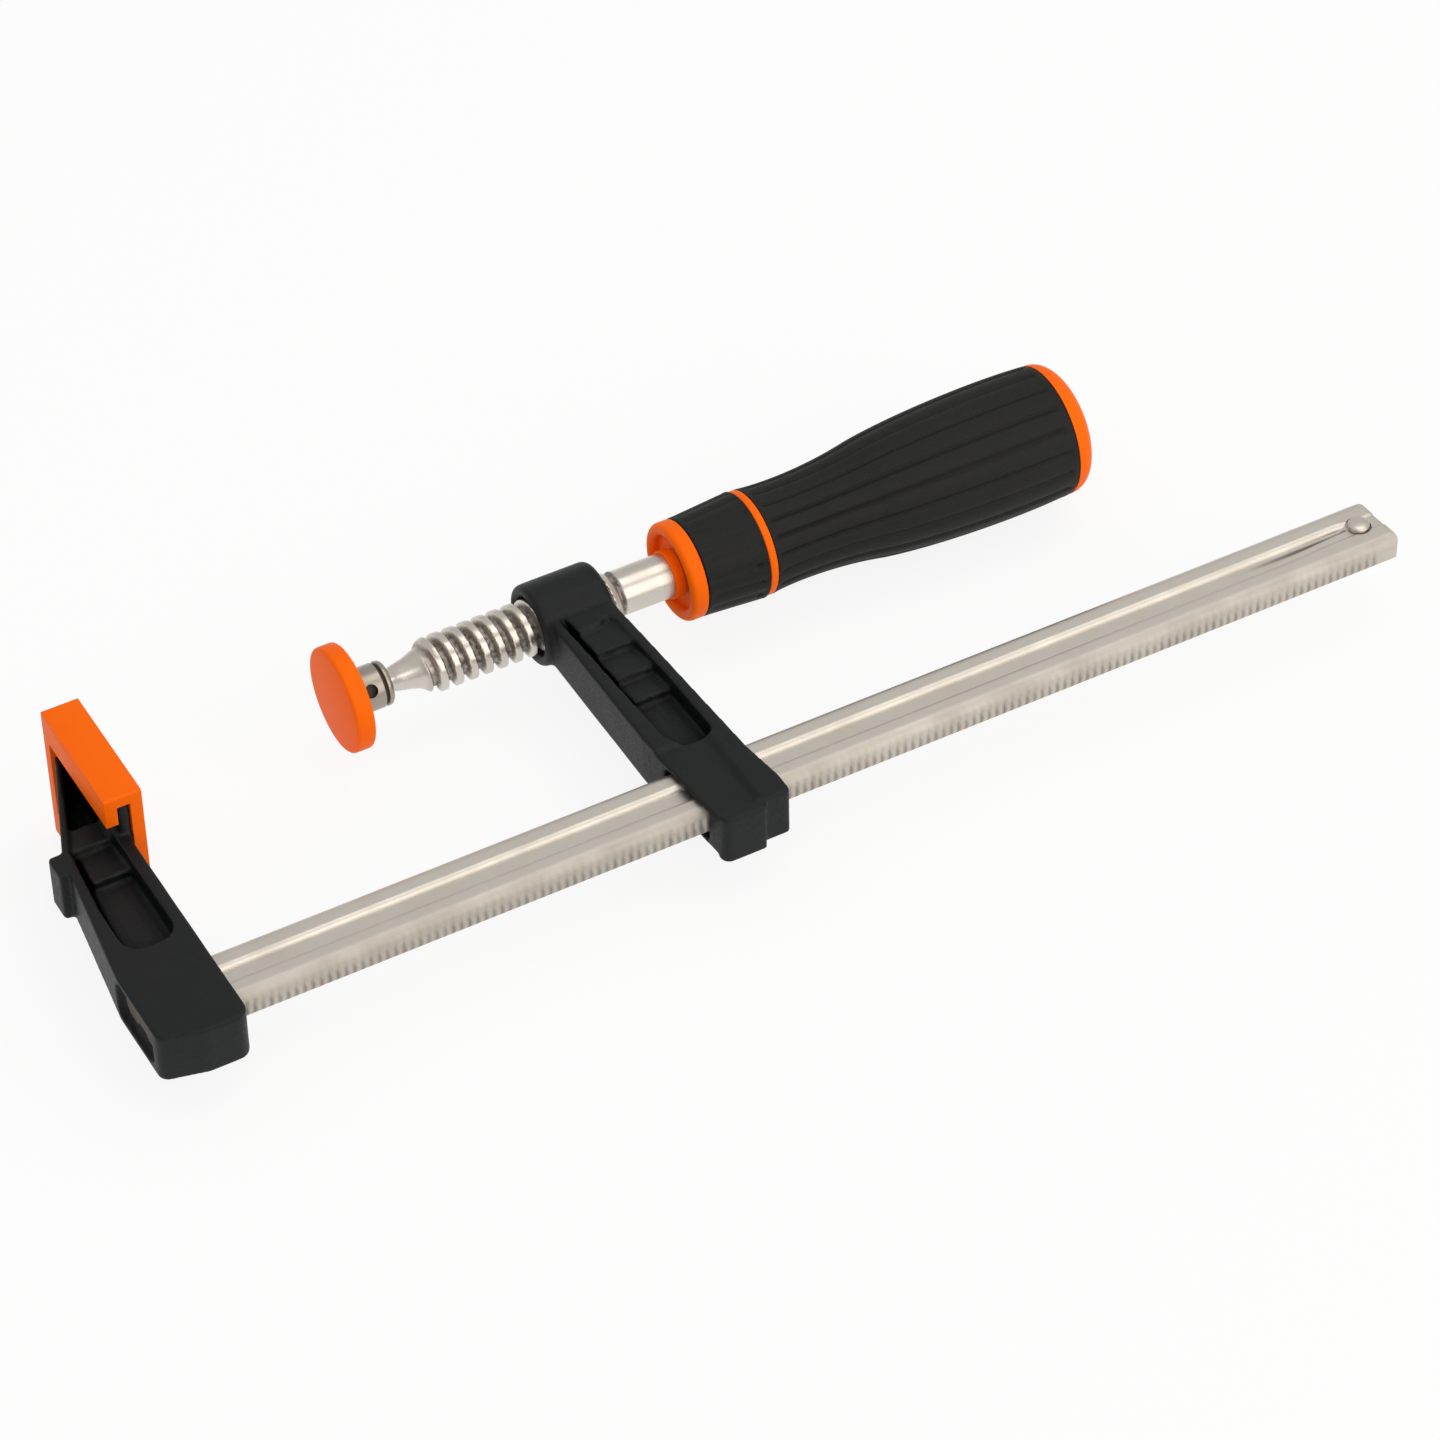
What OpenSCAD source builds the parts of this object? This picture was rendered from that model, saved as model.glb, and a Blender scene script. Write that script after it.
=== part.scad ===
// Quick release bar clamp with a serrated rail, a sliding cast arm and a screw spindle.
// The clamp lies flat: X runs along the rail, Y from the rail to the jaw tips, Z out of its broad side.
// The origin is on the spindle axis, in the clamping face of the fixed jaw.

/* [Clamp] */
// Reach from the spindle axis to the inner edge of the rail
throat_depth = 61; // [45:1:90]
// Place of the rail's free end from the fixed jaw's face
rail_end = 294.8; // [250:0.1:420]
// Gap between the two clamping faces as the clamp is set
jaw_gap = 56.7; // [45:0.1:75]

/* [Rail] */
// Width of the rail over both bulbs
rail_w = 16.2; // [14:0.1:20]
// Thickness of the rail at its bulbs
rail_t = 7.6; // [6.5:0.1:9]
// Width of one bulb
bulb_w = 5.8; // [5:0.1:6.5]
// Corner radius of a bulb
bulb_r = 2.7; // [1.5:0.1:3]
// Thickness of the web between the bulbs
web_t = 5.2; // [3.5:0.1:5.6]
// Radius of the hollow between web and bulb
web_fillet = 0.8; // [0.4:0.1:0.9]
// Pitch of the teeth along the outer edge
tooth_pitch = 2; // [1.6:0.1:3]
// Depth of the teeth
tooth_depth = 0.6; // [0.3:0.05:0.9]
// Length of the plain rail beside the fixed arm
plain_start = 3; // [1:0.5:8]
// Length of the plain rail at its free end
plain_end = 4; // [2:0.5:8]
// Bevel on the corners of the free end
rail_bevel = 1; // [0.5:0.1:2]
// How much shorter the rail is at its inner edge than at its outer edge
end_slant = 1.4; // [0.2:0.1:2]
// Thickness of the web where it is flattened round the stop pin
end_web_t = 6.9; // [5.8:0.1:7.4]

/* [Stop pin] */
// Diameter of the stop pin
stop_d = 5.2; // [3:0.1:6]
// How far the stop pin stands out of the rail on each side
stop_proud = 1.2; // [0.9:0.1:2]
// Distance from the pin's centre to the rail's free end
stop_inset = 6.3; // [5:0.1:12]

/* [Arms] */
// Thickness of both cast arms
arm_t = 13.4; // [12:0.1:16]
// Wall of an arm beyond the rail's outer edge
heel = 7.4; // [5.5:0.1:10]
// Thickness of the web in the middle of a pocket
web_plate = 2.6; // [2:0.1:4]
// Corner radius at the heel of an arm
heel_r = 2.4; // [1.5:0.1:4]

/* [Fixed arm] */
// Thickness of the jaw plate that the cap slips over
plate_t = 3.1; // [2.5:0.1:4]
// Depth of the fixed arm along the rail at the heel
fixed_depth = 21; // [18:0.1:26]
// Radius of the fixed arm's front corner at the heel
fixed_heel_r = 3.4; // [1.5:0.1:4.5]
// Depth of the fixed arm below the striking block
fixed_neck = 16.6; // [14:0.1:19]
// Thickness of the fixed arm's walls round its pocket
pocket_wall = 3.2; // [2.5:0.1:3.6]
// Step from the jaw plate's front back to the arm's front
front_step = 1; // [0.4:0.1:1.6]
// How far the striking block stands out of the back
strike_out = 2.3; // [1:0.1:4]
// Length of the striking block
strike_len = 7.2; // [5:0.1:10]
// Distance from the spindle axis to the striking block
strike_drop = 20.2; // [17:0.1:24]

/* [Sliding arm] */
// Distance from the pad's face to the sliding arm's front
arm_standoff = 51.8; // [48:0.1:60]
// Width of the sliding arm just below the boss
arm_top_w = 16; // [14:0.1:18]
// Width of the sliding arm at the rail
arm_low_w = 18.6; // [16:0.1:21]
// How far the front edge leans back at the heel
arm_lean = 3; // [1:0.1:4]
// Outer radius of the spindle boss
boss_r = 10; // [8.7:0.1:12]
// Length of the boss ahead of the arm's front edge
boss_ahead = 2; // [0.5:0.1:4]
// Length of the boss behind the arm's back edge
boss_behind = 0.5; // [0.3:0.1:4]
// Depth of the shallow recess beside the rail
rail_recess = 1; // [0.4:0.1:1.5]
// Step at the heel from the middle block back to the rear flange
heel_step = 2.1; // [1:0.1:5]
// How far the back edge flares out beside the rail
heel_flare = 1.7; // [0.4:0.1:2.6]

/* [Spindle] */
// Outside diameter of the spindle's thread
thread_d = 13.4; // [12:0.1:14]
// Distance from the pad's face to the start of the thread
thread_start = 22.8; // [20:0.1:28]
// Length of the thread with its runout
thread_len = 47.7; // [44:0.1:70]
// Length of the runout where the thread ends in the shank
thread_runout = 2.2; // [1.4:0.1:4]
// Diameter of the smooth shank behind the thread
shank_d = 10.9; // [9.5:0.1:11.5]
// Diameter of the large end of the spindle's cone
cone_d = 10.6; // [9:0.1:11.4]
// Diameter of the neck behind the ball
neck_d = 5.2; // [4.6:0.1:5.6]
// Radius of the ball end
ball_r = 3.4; // [3.2:0.05:3.6]
// Diameter of the tang inside the handle
tang_d = 9.2; // [8:0.1:9.8]
// Width over the two flats of the tang
tang_flat = 7.6; // [6.5:0.1:8]
// Length of the tang inside the handle
tang_len = 50; // [30:1:60]

/* [Swivel pad] */
// Diameter of the pad cap
pad_d = 25.6; // [23:0.1:32]
// Thickness of the pad cap along the spindle
pad_t = 4.6; // [4.2:0.1:6.5]
// Wall of the pad cap in front of the steel plate
pad_face_t = 2; // [1.5:0.1:2.6]
// Thickness of the steel plate
plate_disc_t = 1.8; // [1.4:0.1:2]
// Rim of the pad cap round the steel plate
pad_rim = 1.4; // [1:0.1:2]
// Width of the lip that holds the cap on the plate
pad_lip = 1.1; // [0.6:0.1:1.5]
// Outer radius of the ball socket
socket_r = 5.4; // [5.2:0.1:6.5]
// Radius of the staking marks round the socket
stake_r = 1.6; // [0.6:0.1:1.8]

/* [Retaining ring] */
// Thickness of the ring along the spindle
ring_t = 0.9; // [0.6:0.05:1.1]
// Radial width of the ring
ring_w = 1.1; // [0.9:0.05:1.2]

/* [Jaw cap] */
// Thickness of the cap's walls
cap_wall = 2.9; // [2:0.1:3.4]
// Width of the cap across the clamp
cap_w = 37; // [30:0.5:44]
// Height of the cap above the spindle axis
cap_above = 11.5; // [8:0.1:14]
// Height of the cap below the spindle axis
cap_below = 22.4; // [18:0.1:23]
// Height of the cap's lips behind the jaw plate
cap_lip = 4.9; // [3:0.1:7]

/* [Handle] */
// Distance from the pad's face to the front of the handle
handle_start = 86.7; // [82:0.1:110]
// Length of the handle
handle_len = 108.8; // [95:0.1:130]
// Radius of the collar
collar_r = 12.1; // [11.5:0.1:14]
// Length of the collar
collar_len = 4.2; // [3.4:0.1:10]
// Distance across the flats of the hexagon nose
nose_flats = 14.4; // [13:0.1:16]
// Depth of the ring groove round the hexagon nose
nose_groove = 2.4; // [1:0.1:3]
// Length of the front grip
front_grip_len = 15.7; // [10:0.1:20]
// Radius at the rear end of the front grip
front_grip_r = 13.2; // [12.6:0.1:15]
// Radius of the ring band between the grips
band_r = 13.4; // [13.2:0.1:15.4]
// Width of the ring band
band_w = 2.4; // [1.5:0.1:4]
// Radius at the waist of the rear grip
waist_r = 12.5; // [12:0.1:14]
// Radius of the rear grip at its widest
palm_r = 16.8; // [14.5:0.1:19]
// Radius of the rear grip where it meets the end cap
tail_r = 16.2; // [14.2:0.1:18]
// Height of the end cap's dome
dome_h = 5.8; // [3:0.1:8]
// Number of lengthwise grooves round the rear grip
flute_count = 18; // [6:1:24]
// Depth of the grooves
flute_depth = 0.5; // [0.3:0.05:0.8]
// Width of the grooves
flute_w = 0.8; // [0.5:0.05:1.2]

/* [Hidden] */

$fn = 64;
// Clearance of parts that slide over each other
slide_gap = 0.4;
// Radial clearance of turning fits
run_gap = 0.06;
// Clearance of parts that are pressed or staked together
press_gap = 0.05;
// Overrun of every cut past the face it opens
over = 1;
// Small sizes of the rail, its pin and the fixed arm
stake_sink = 1.9;
tooth_land = 0.3;
stop_edge = 0.5;
plate_inset = 0.5;
plate_edge = 1.5;
flange_stub = 2.1;
flange_wall = 2.9;
flange_jog = 1.2;
strike_edge = 0.9;
heel_rise = 2.6;
block_r = 0.8;
pocket_r = 4.6;
pocket_slot = 1.3;
window_rim = 1.2;
cap_edge = 0.6;
// Small sizes of the sliding arm
boss_edge = 1.4;
recess_room = 4.2;
recess_slope = 1.3;
slot_w = 1.2;
// Small sizes of the spindle's ball joint
socket_floor = 0.35;
socket_len = 8.6;
tilt_room = 1;
neck_waist = 0.35;
thread_edge = 1.2;
shank_seat = 5;
ring_back = 0.3;
ring_room = 0.75;
mouth_room = 0.45;
crimp = 0.35;
socket_fillet = 0.8;
socket_edge = 0.7;
stake_count = 3;
stake_turn = 55;
stake_floor = 0.6;
pad_edge = 0.7;
// Small sizes of the handle
collar_lip = 9.2;
grip_t = 2.2;
core_wall = 3;
core_floor = 4;
plug_len = 8;
band_step = 0.4;
flute_room = 2.4;
flute_run = 3.4;
// End of the fixed arm's pocket, from the spindle axis to the heel
pocket_end_share = 0.655;
// Floor of the fixed arm's pocket from the jaw tip down, and of the slot along its back wall
fixed_steps_shares = [[0, 0], [0.24, 0], [0.24, 0.83], [0.31, 0.75], [0.31, 0.4], [0.42, 0.6],
    [0.42, 0.15], [0.72, 0.15]];
fixed_slot_shares = [[0.24, 0.75], [0.35, 0], [0.72, 0]];
// Floor of the sliding arm's pocket from the spindle axis down, and of the slot along its front wall
sliding_steps_shares = [[0.15, 0.72], [0.355, 0.86], [0.355, 0.54], [0.5, 0.7], [0.5, 0.36], [0.625, 0.5],
    [0.625, 0.13], [0.97, 0.13]];
sliding_slot_shares = [[0.1, 1], [0.2, 0.3], [0.3, 0], [0.97, 0]];
// Corners of the sliding arm's pocket and their radii
sliding_pocket_shares = [[0.206, 0.228], [0.637, 0.218], [0.825, 0.165], [0.925, 0.59], [0.956, 0.94],
    [0.331, 0.94]];
sliding_pocket_rs = [0, 1, 1.5, 0, 2, 4];
// Middle line of the slot along the pocket's front wall
sliding_slot_line_shares = [[0.188, 0.12], [0.257, 0.525], [0.335, 0.885]];
// Where the sliding arm's front edge starts to lean, and how its sides follow
knee_share = 0.85;
low_lean_share = 0.8;
recess_share = 0.513;
heel_block_share = 0.591;
// Shape of the rear grip between waist and palm
mid_swell_share = 0.45;
mid_share = 0.372;
dip_share = 0.12;
dip_place_share = 0.1;
waist_place_share = 0.25;
palm_rise_share = 0.9;
palm_rise_place_share = 0.52;
palm_top_share = 1.14;
palm_top_place_share = 0.82;
// How full the end cap's dome is: 1 gives an ellipse and 0 a square corner
dome_full_share = 0.75;

rail_y = -(throat_depth + rail_w / 2);
rail_out_y = rail_y - rail_w / 2;
heel_y = rail_out_y - heel;
half_t = arm_t / 2;

// Points along the corners of an outline, each rounded to its own radius
function unit(v) = v / norm(v);
function corner(p0, p1, p2, r, n) =
    let (u = unit(p0 - p1), v = unit(p2 - p1), turn = 180 - acos(u * v), half = (180 - turn) / 2)
    let (c = p1 + unit(u + v) * r / sin(half))
    let (a = p1 + u * r / tan(half) - c, b = p1 + v * r / tan(half) - c)
    [for (k = [0:n]) c + (sin((1 - k / n) * turn) * a + sin(k / n * turn) * b) / sin(turn)];
function rounded(pts, rs, n = 6) =
    let (m = len(pts))
    [for (i = [0:m - 1]) each rs[i] == 0 ? [pts[i]]
        : corner(pts[(i + m - 1) % m], pts[i], pts[(i + 1) % m], rs[i], n)];

// A point on a cubic curve through four poles
function cubic(p, t) =
    pow(1 - t, 3) * p[0] + 3 * pow(1 - t, 2) * t * p[1] + 3 * (1 - t) * t * t * p[2] + pow(t, 3) * p[3];

function back_to_front(curve) = [for (k = [len(curve) - 1:-1:0]) curve[k]];

// A solid turned about the spindle axis, from radii and places along X
module turned(pts) {
    rotate([0, 90, 0]) rotate_extrude() polygon(pts);
}

// A bar of the given outline in Y and Z, from x0 to x1
module along_x(x0, x1) {
    translate([x0, 0, 0]) rotate([90, 0, 90]) linear_extrude(x1 - x0) children();
}

// A rectangle with round corners, centred
module soft_rect(w, h, r) {
    square([w - 2 * r, h], center = true);
    square([w, h - 2 * r], center = true);
    for (sx = [-1, 1]) {
        for (sy = [-1, 1]) {
            translate([sx * (w / 2 - r), sy * (h / 2 - r)]) circle(r);
        }
    }
}

// Rail

// Section of the rail: two bulbs joined by a thinner web, grown by a gap all round
module rail_section(gap = 0) {
    edge = (rail_w - bulb_w) / 2;
    for (s = [-1, 1]) {
        translate([s * edge, 0]) soft_rect(bulb_w + 2 * gap, rail_t + 2 * gap, bulb_r + gap);
        for (t = [-1, 1]) {
            translate([s * (edge - bulb_w / 2 - gap), t * (web_t / 2 + gap)]) hollow_corner(-s, t);
        }
    }
    square([rail_w - bulb_w, web_t + 2 * gap], center = true);
}

// Concave fillet that fills the corner at the origin towards sx and sy
module hollow_corner(sx, sy) {
    difference() {
        translate([sx > 0 ? 0 : -web_fillet, sy > 0 ? 0 : -web_fillet]) square(web_fillet);
        translate([sx * web_fillet, sy * web_fillet]) circle(web_fillet);
    }
}

rail_tail = -cap_wall - press_gap - front_step - fixed_depth + stake_sink;
teeth_start = plain_start - tooth_pitch;
teeth_end = rail_end - plain_end;
tooth_count = floor((teeth_end - teeth_start) / tooth_pitch);

// Outline of the rail seen from above, with a row of teeth on its outer edge
function rail_outline() = concat(
    [[rail_tail, rail_w / 2 + over], [rail_end - end_slant - rail_bevel, rail_w / 2 + over]],
    [[rail_end - end_slant - rail_bevel, rail_w / 2], [rail_end - end_slant, rail_w / 2 - rail_bevel]],
    [[rail_end, rail_bevel - rail_w / 2], [rail_end - rail_bevel, -rail_w / 2]],
    [for (i = [tooth_count - 1:-1:0]) each [
        [teeth_start + (i + 1) * tooth_pitch - tooth_land, -rail_w / 2],
        [teeth_start + (i + 0.5) * tooth_pitch, tooth_depth - rail_w / 2],
        [teeth_start + i * tooth_pitch, -rail_w / 2]]],
    [[rail_tail, -rail_w / 2]]);

stop_x = rail_end - stop_inset;
stop_half = rail_t / 2 + stop_proud;

module rail() color("lightgray") {
    translate([0, rail_y, 0]) difference() {
        intersection() {
            union() {
                along_x(rail_tail, rail_end) rail_section();
                along_x(stop_x - stop_d, rail_end) square([rail_w - bulb_w, end_web_t], center = true);
            }
            translate([0, 0, -rail_t]) linear_extrude(2 * rail_t) polygon(rail_outline());
        }
        translate([stop_x, 0, -rail_t]) cylinder(d = stop_d + 2 * press_gap, h = 2 * rail_t);
    }
}

module stop_pin() color("silver") {
    body_half = stop_half - stop_edge;
    translate([stop_x, rail_y, 0]) {
        translate([0, 0, -body_half]) cylinder(d = stop_d, h = 2 * body_half);
        for (s = [0, 180]) {
            rotate([s, 0, 0]) translate([0, 0, body_half])
                cylinder(d1 = stop_d, d2 = stop_d - 2 * stop_edge, h = stop_edge);
        }
    }
}

// Pockets

// Steps of a pocket's floor: place along the pocket and height between web and broad side, both as shares
function floor_points(steps, y0, length, open_z) = concat(
    [for (s = steps) [y0 - s[0] * length, web_plate / 2 + s[1] * (half_t - web_plate / 2)]],
    [[y0 - steps[len(steps) - 1][0] * length, open_z], [y0 - steps[0][0] * length, open_z]]);

// Both halves of a pocket: its outline down to a stepped floor, from either broad side
module stepped_pocket(outline, steps, y0, length, x0, x1) {
    for (s = [0, 1]) {
        mirror([0, 0, s]) intersection() {
            linear_extrude(half_t + over) polygon(outline);
            along_x(x0, x1) polygon(floor_points(steps, y0, length, half_t + 2 * over));
        }
    }
}

// Fixed arm

plate_front_x = -(cap_wall + press_gap);
plate_back_x = plate_front_x - plate_t;
plate_top_y = cap_above - cap_wall - press_gap;
plate_low_y = plate_inset - cap_below;
plate_half_z = cap_w / 2 - cap_wall - press_gap;
arm_front_x = plate_front_x - front_step;
heel_back_x = arm_front_x - fixed_depth;
neck_back_x = arm_front_x - fixed_neck;
strike_y = -strike_drop;
strike_low_y = strike_y - strike_len;
flange_top_x = plate_back_x - flange_stub;

fixed_outline = rounded([
    [plate_front_x, plate_top_y],
    [plate_front_x, plate_low_y],
    [arm_front_x, plate_low_y - front_step],
    [arm_front_x, heel_y],
    [(arm_front_x + heel_back_x) / 2, heel_y],
    [heel_back_x, heel_y + heel_rise],
    [heel_back_x, -throat_depth],
    [neck_back_x, strike_low_y],
    [neck_back_x - strike_out, strike_low_y],
    [neck_back_x - strike_out, strike_y],
    [neck_back_x + flange_jog, strike_y],
    [flange_top_x, plate_top_y]],
    [0, 0, 0, fixed_heel_r, 0, heel_r, heel, 0, strike_edge, strike_edge, 0, 0]);

fixed_pocket = rounded([
    [arm_front_x - pocket_wall, plate_top_y - flange_wall],
    [arm_front_x - pocket_wall, pocket_end_share * heel_y],
    [neck_back_x + flange_jog, pocket_end_share * heel_y],
    [neck_back_x + flange_jog, (strike_low_y + pocket_end_share * heel_y) / 2],
    [neck_back_x + pocket_wall, strike_y]],
    [0, pocket_r, pocket_r, 0, 0]);

fixed_slot = [
    [neck_back_x + pocket_wall, strike_y],
    [neck_back_x + pocket_wall + pocket_slot, strike_y],
    [neck_back_x + flange_jog + pocket_slot, (strike_low_y + pocket_end_share * heel_y) / 2],
    [neck_back_x + flange_jog + pocket_slot, pocket_end_share * heel_y + pocket_r],
    [neck_back_x + flange_jog, pocket_end_share * heel_y + pocket_r],
    [neck_back_x + flange_jog, (strike_low_y + pocket_end_share * heel_y) / 2]];

module jaw_plate() {
    plate_mid_y = (plate_top_y + plate_low_y) / 2;
    translate([0, plate_mid_y, 0]) along_x(plate_back_x, plate_front_x)
        soft_rect(plate_top_y - plate_low_y, 2 * plate_half_z, plate_edge);
}

module fixed_arm() color("#26282b") {
    difference() {
        union() {
            translate([0, 0, -half_t]) linear_extrude(arm_t) polygon(fixed_outline);
            jaw_plate();
        }
        stepped_pocket(fixed_pocket, fixed_steps_shares, plate_top_y, plate_top_y - heel_y, heel_back_x, 0);
        stepped_pocket(fixed_slot, fixed_slot_shares, plate_top_y, plate_top_y - heel_y, heel_back_x, 0);
        translate([0, rail_y, 0]) along_x(heel_back_x - over, 0) rail_section(press_gap);
        translate([0, rail_y, 0]) along_x(heel_back_x - over, rail_tail)
            soft_rect(rail_w + 2 * window_rim, rail_t + 2 * window_rim, bulb_r);
    }
}

module fixed_jaw_cap() color("#ff6a00") {
    cap_mid_y = (cap_above - cap_below) / 2;
    cap_h = cap_above + cap_below;
    cap_back_x = plate_back_x - press_gap - cap_wall;
    seat_z = plate_half_z + press_gap;
    seat_h = plate_top_y + press_gap + cap_below + over;
    difference() {
        translate([0, cap_mid_y, 0]) along_x(cap_back_x, 0) soft_rect(cap_h, cap_w, cap_edge);
        translate([plate_back_x - press_gap, -cap_below - over, -seat_z])
            cube([plate_t + 2 * press_gap, seat_h, 2 * seat_z]);
        translate([cap_back_x - over, -cap_below - over, cap_lip - seat_z])
            cube([cap_wall + plate_t + over, seat_h, 2 * (seat_z - cap_lip)]);
    }
}

// Sliding arm

arm_x = jaw_gap + arm_standoff;
boss_front_x = arm_x - boss_ahead;
boss_back_x = arm_x + arm_top_w + boss_behind;
knee_y = -throat_depth * knee_share;
low_right_x = arm_x + arm_low_w + arm_lean * low_lean_share;
block_x = arm_x + arm_lean + heel_block_share * arm_low_w;

sliding_outline = rounded([
    [arm_x, 0],
    [arm_x, knee_y],
    [arm_x + arm_lean, heel_y],
    [block_x, heel_y],
    [block_x, heel_y + heel_step],
    [low_right_x, heel_y + heel_step],
    [low_right_x, rail_out_y],
    [low_right_x - heel_flare, -throat_depth - recess_room],
    [arm_x + arm_top_w, -boss_r],
    [arm_x + arm_top_w, 0]],
    [0, heel, heel_r, block_r, 0, heel_r / 2, heel, heel, 0, 0]);

// A point of the sliding arm's pocket, from shares of the arm's width and of the throat
function sliding_point(s) = [arm_x + s[0] * arm_top_w, -s[1] * throat_depth];

module sliding_arm() color("#26282b") {
    pocket = rounded([for (s = sliding_pocket_shares) sliding_point(s)], sliding_pocket_rs);
    slot_line = [for (s = sliding_slot_line_shares) sliding_point(s)];
    slot_side = [slot_w / 2, 0];
    slot = concat([for (p = slot_line) p + slot_side], back_to_front([for (p = slot_line) p - slot_side]));
    rail_slot_w = rail_w + 2 * slide_gap;
    rail_slot_t = rail_t + 2 * slide_gap;
    difference() {
        union() {
            translate([0, 0, -half_t]) linear_extrude(arm_t) polygon(sliding_outline);
            turned(rounded([[0, boss_front_x], [boss_r, boss_front_x], [boss_r, boss_back_x],
                [0, boss_back_x]], [0, boss_edge, boss_edge, 0]));
        }
        stepped_pocket(pocket, sliding_steps_shares, 0, throat_depth, arm_x - over, low_right_x + over);
        stepped_pocket(slot, sliding_slot_shares, 0, throat_depth, arm_x - over, low_right_x + over);
        translate([boss_front_x - over, rail_y - rail_slot_w / 2, -rail_slot_t / 2])
            cube([low_right_x - boss_front_x + 2 * over, rail_slot_w, rail_slot_t]);
        for (s = [0, 1]) {
            mirror([0, 0, s]) rail_side_recess();
        }
        turned([[0, boss_front_x - over], [thread_d / 2 + run_gap, boss_front_x - over],
            [thread_d / 2 + run_gap, boss_back_x + over], [0, boss_back_x + over]]);
    }
}

// Shallow recess beside the rail, with a sloping wall up to the rear flange
module rail_side_recess() {
    foot_x = arm_x + arm_lean + recess_share * arm_low_w;
    low_z = half_t - rail_recess;
    wall_x = foot_x + recess_slope;
    translate([0, -throat_depth + recess_room, 0]) rotate([90, 0, 0])
        linear_extrude(rail_w + 2 * recess_room)
            polygon([[arm_x - over, low_z], [foot_x, low_z], [wall_x, half_t], [wall_x, half_t + over],
                [arm_x - over, half_t + over]]);
}

// Spindle

ball_x = jaw_gap + pad_face_t + plate_disc_t + run_gap + socket_floor + ball_r;
socket_end_x = jaw_gap + pad_t + socket_len;
cone_start_x = socket_end_x + tilt_room;
thread_x0 = jaw_gap + thread_start;
thread_x1 = thread_x0 + thread_len;
handle_x = jaw_gap + handle_start;
shank_x1 = handle_x + shank_seat;
tang_x1 = shank_x1 + tang_len;

module spindle() color("silver") {
    translate([ball_x, 0, 0]) sphere(ball_r);
    difference() {
        turned([[0, ball_x], [neck_d / 2, ball_x], [neck_d / 2, cone_start_x],
            [(neck_d + cone_d) / 4 - neck_waist, (cone_start_x + thread_x0) / 2],
            [cone_d / 2, thread_x0], [thread_d / 2 - thread_edge, thread_x0],
            [thread_d / 2, thread_x0 + thread_edge], [thread_d / 2, thread_x1 - thread_runout],
            [shank_d / 2, thread_x1], [shank_d / 2, shank_x1], [tang_d / 2, shank_x1],
            [tang_d / 2, tang_x1 - thread_edge], [tang_d / 2 - thread_edge, tang_x1], [0, tang_x1]]);
        for (s = [0, 180]) {
            rotate([s, 0, 0]) translate([shank_x1, -tang_d, tang_flat / 2])
                cube([tang_len + over, 2 * tang_d, tang_d]);
        }
    }
}

ring_x0 = ball_x + ball_r - ring_back;
ring_r = neck_d / 2 + run_gap + ring_w;

module retaining_ring() color("gray") {
    turned([[neck_d / 2 + run_gap, ring_x0], [ring_r, ring_x0],
        [ring_r, ring_x0 + ring_t], [neck_d / 2 + run_gap, ring_x0 + ring_t]]);
}

// Swivel pad

disc_r = pad_d / 2 - pad_rim;
disc_x0 = jaw_gap + pad_face_t;
disc_x1 = disc_x0 + plate_disc_t;
groove_x0 = ring_x0 - ring_room;
groove_x1 = ring_x0 + ring_t + ring_room;
groove_r = ring_r + ring_room;
seat_r = ball_r + run_gap;
mouth_r = (ring_r + neck_d / 2) / 2 + mouth_room;

module swivel_pad() color("silver") {
    difference() {
        turned(rounded([[0, disc_x0], [disc_r, disc_x0], [disc_r, disc_x1], [socket_r, disc_x1],
            [socket_r, groove_x0 + ring_room], [socket_r - crimp, groove_x0 + ring_room + crimp],
            [socket_r, groove_x0 + ring_room + 2 * crimp], [socket_r, socket_end_x],
            [0, socket_end_x]], [0, 0, 0, socket_fillet, 0, 0, 0, socket_edge, 0]));
        translate([ball_x, 0, 0]) sphere(seat_r);
        turned([[0, ball_x], [seat_r, ball_x], [seat_r, groove_x0], [groove_r, groove_x0],
            [groove_r, groove_x1], [mouth_r, groove_x1], [mouth_r + crimp, socket_end_x],
            [mouth_r + crimp, socket_end_x + over], [0, socket_end_x + over]]);
        for (i = [0:stake_count - 1]) {
            rotate([stake_turn + i * 360 / stake_count, 0, 0])
                translate([ball_x, 0, seat_r + stake_floor]) cylinder(r = stake_r, h = socket_r);
        }
    }
}

module pad_cap() color("#ff6a00") {
    edge_r = disc_r + press_gap;
    lip_x = disc_x1 + press_gap;
    turned(rounded([[0, jaw_gap], [pad_d / 2, jaw_gap], [pad_d / 2, jaw_gap + pad_t],
        [edge_r - pad_lip, jaw_gap + pad_t], [edge_r - pad_lip, lip_x], [edge_r, lip_x],
        [edge_r, disc_x0 - press_gap], [0, disc_x0 - press_gap]],
        [0, pad_edge, pad_edge, 0, 0, 0, 0, 0]));
}

// Handle

front_x0 = handle_x + collar_len;
front_x1 = front_x0 + front_grip_len;
rear_x0 = front_x1 + band_w;
rear_x1 = handle_x + handle_len - dome_h;
rear_len = rear_x1 - rear_x0;
flute_x0 = rear_x0 + flute_run;
flute_x1 = rear_x1 - flute_room;
tube_r = collar_r - grip_t;
swell = palm_r - waist_r;
mid_r = waist_r + mid_swell_share * swell;

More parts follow.
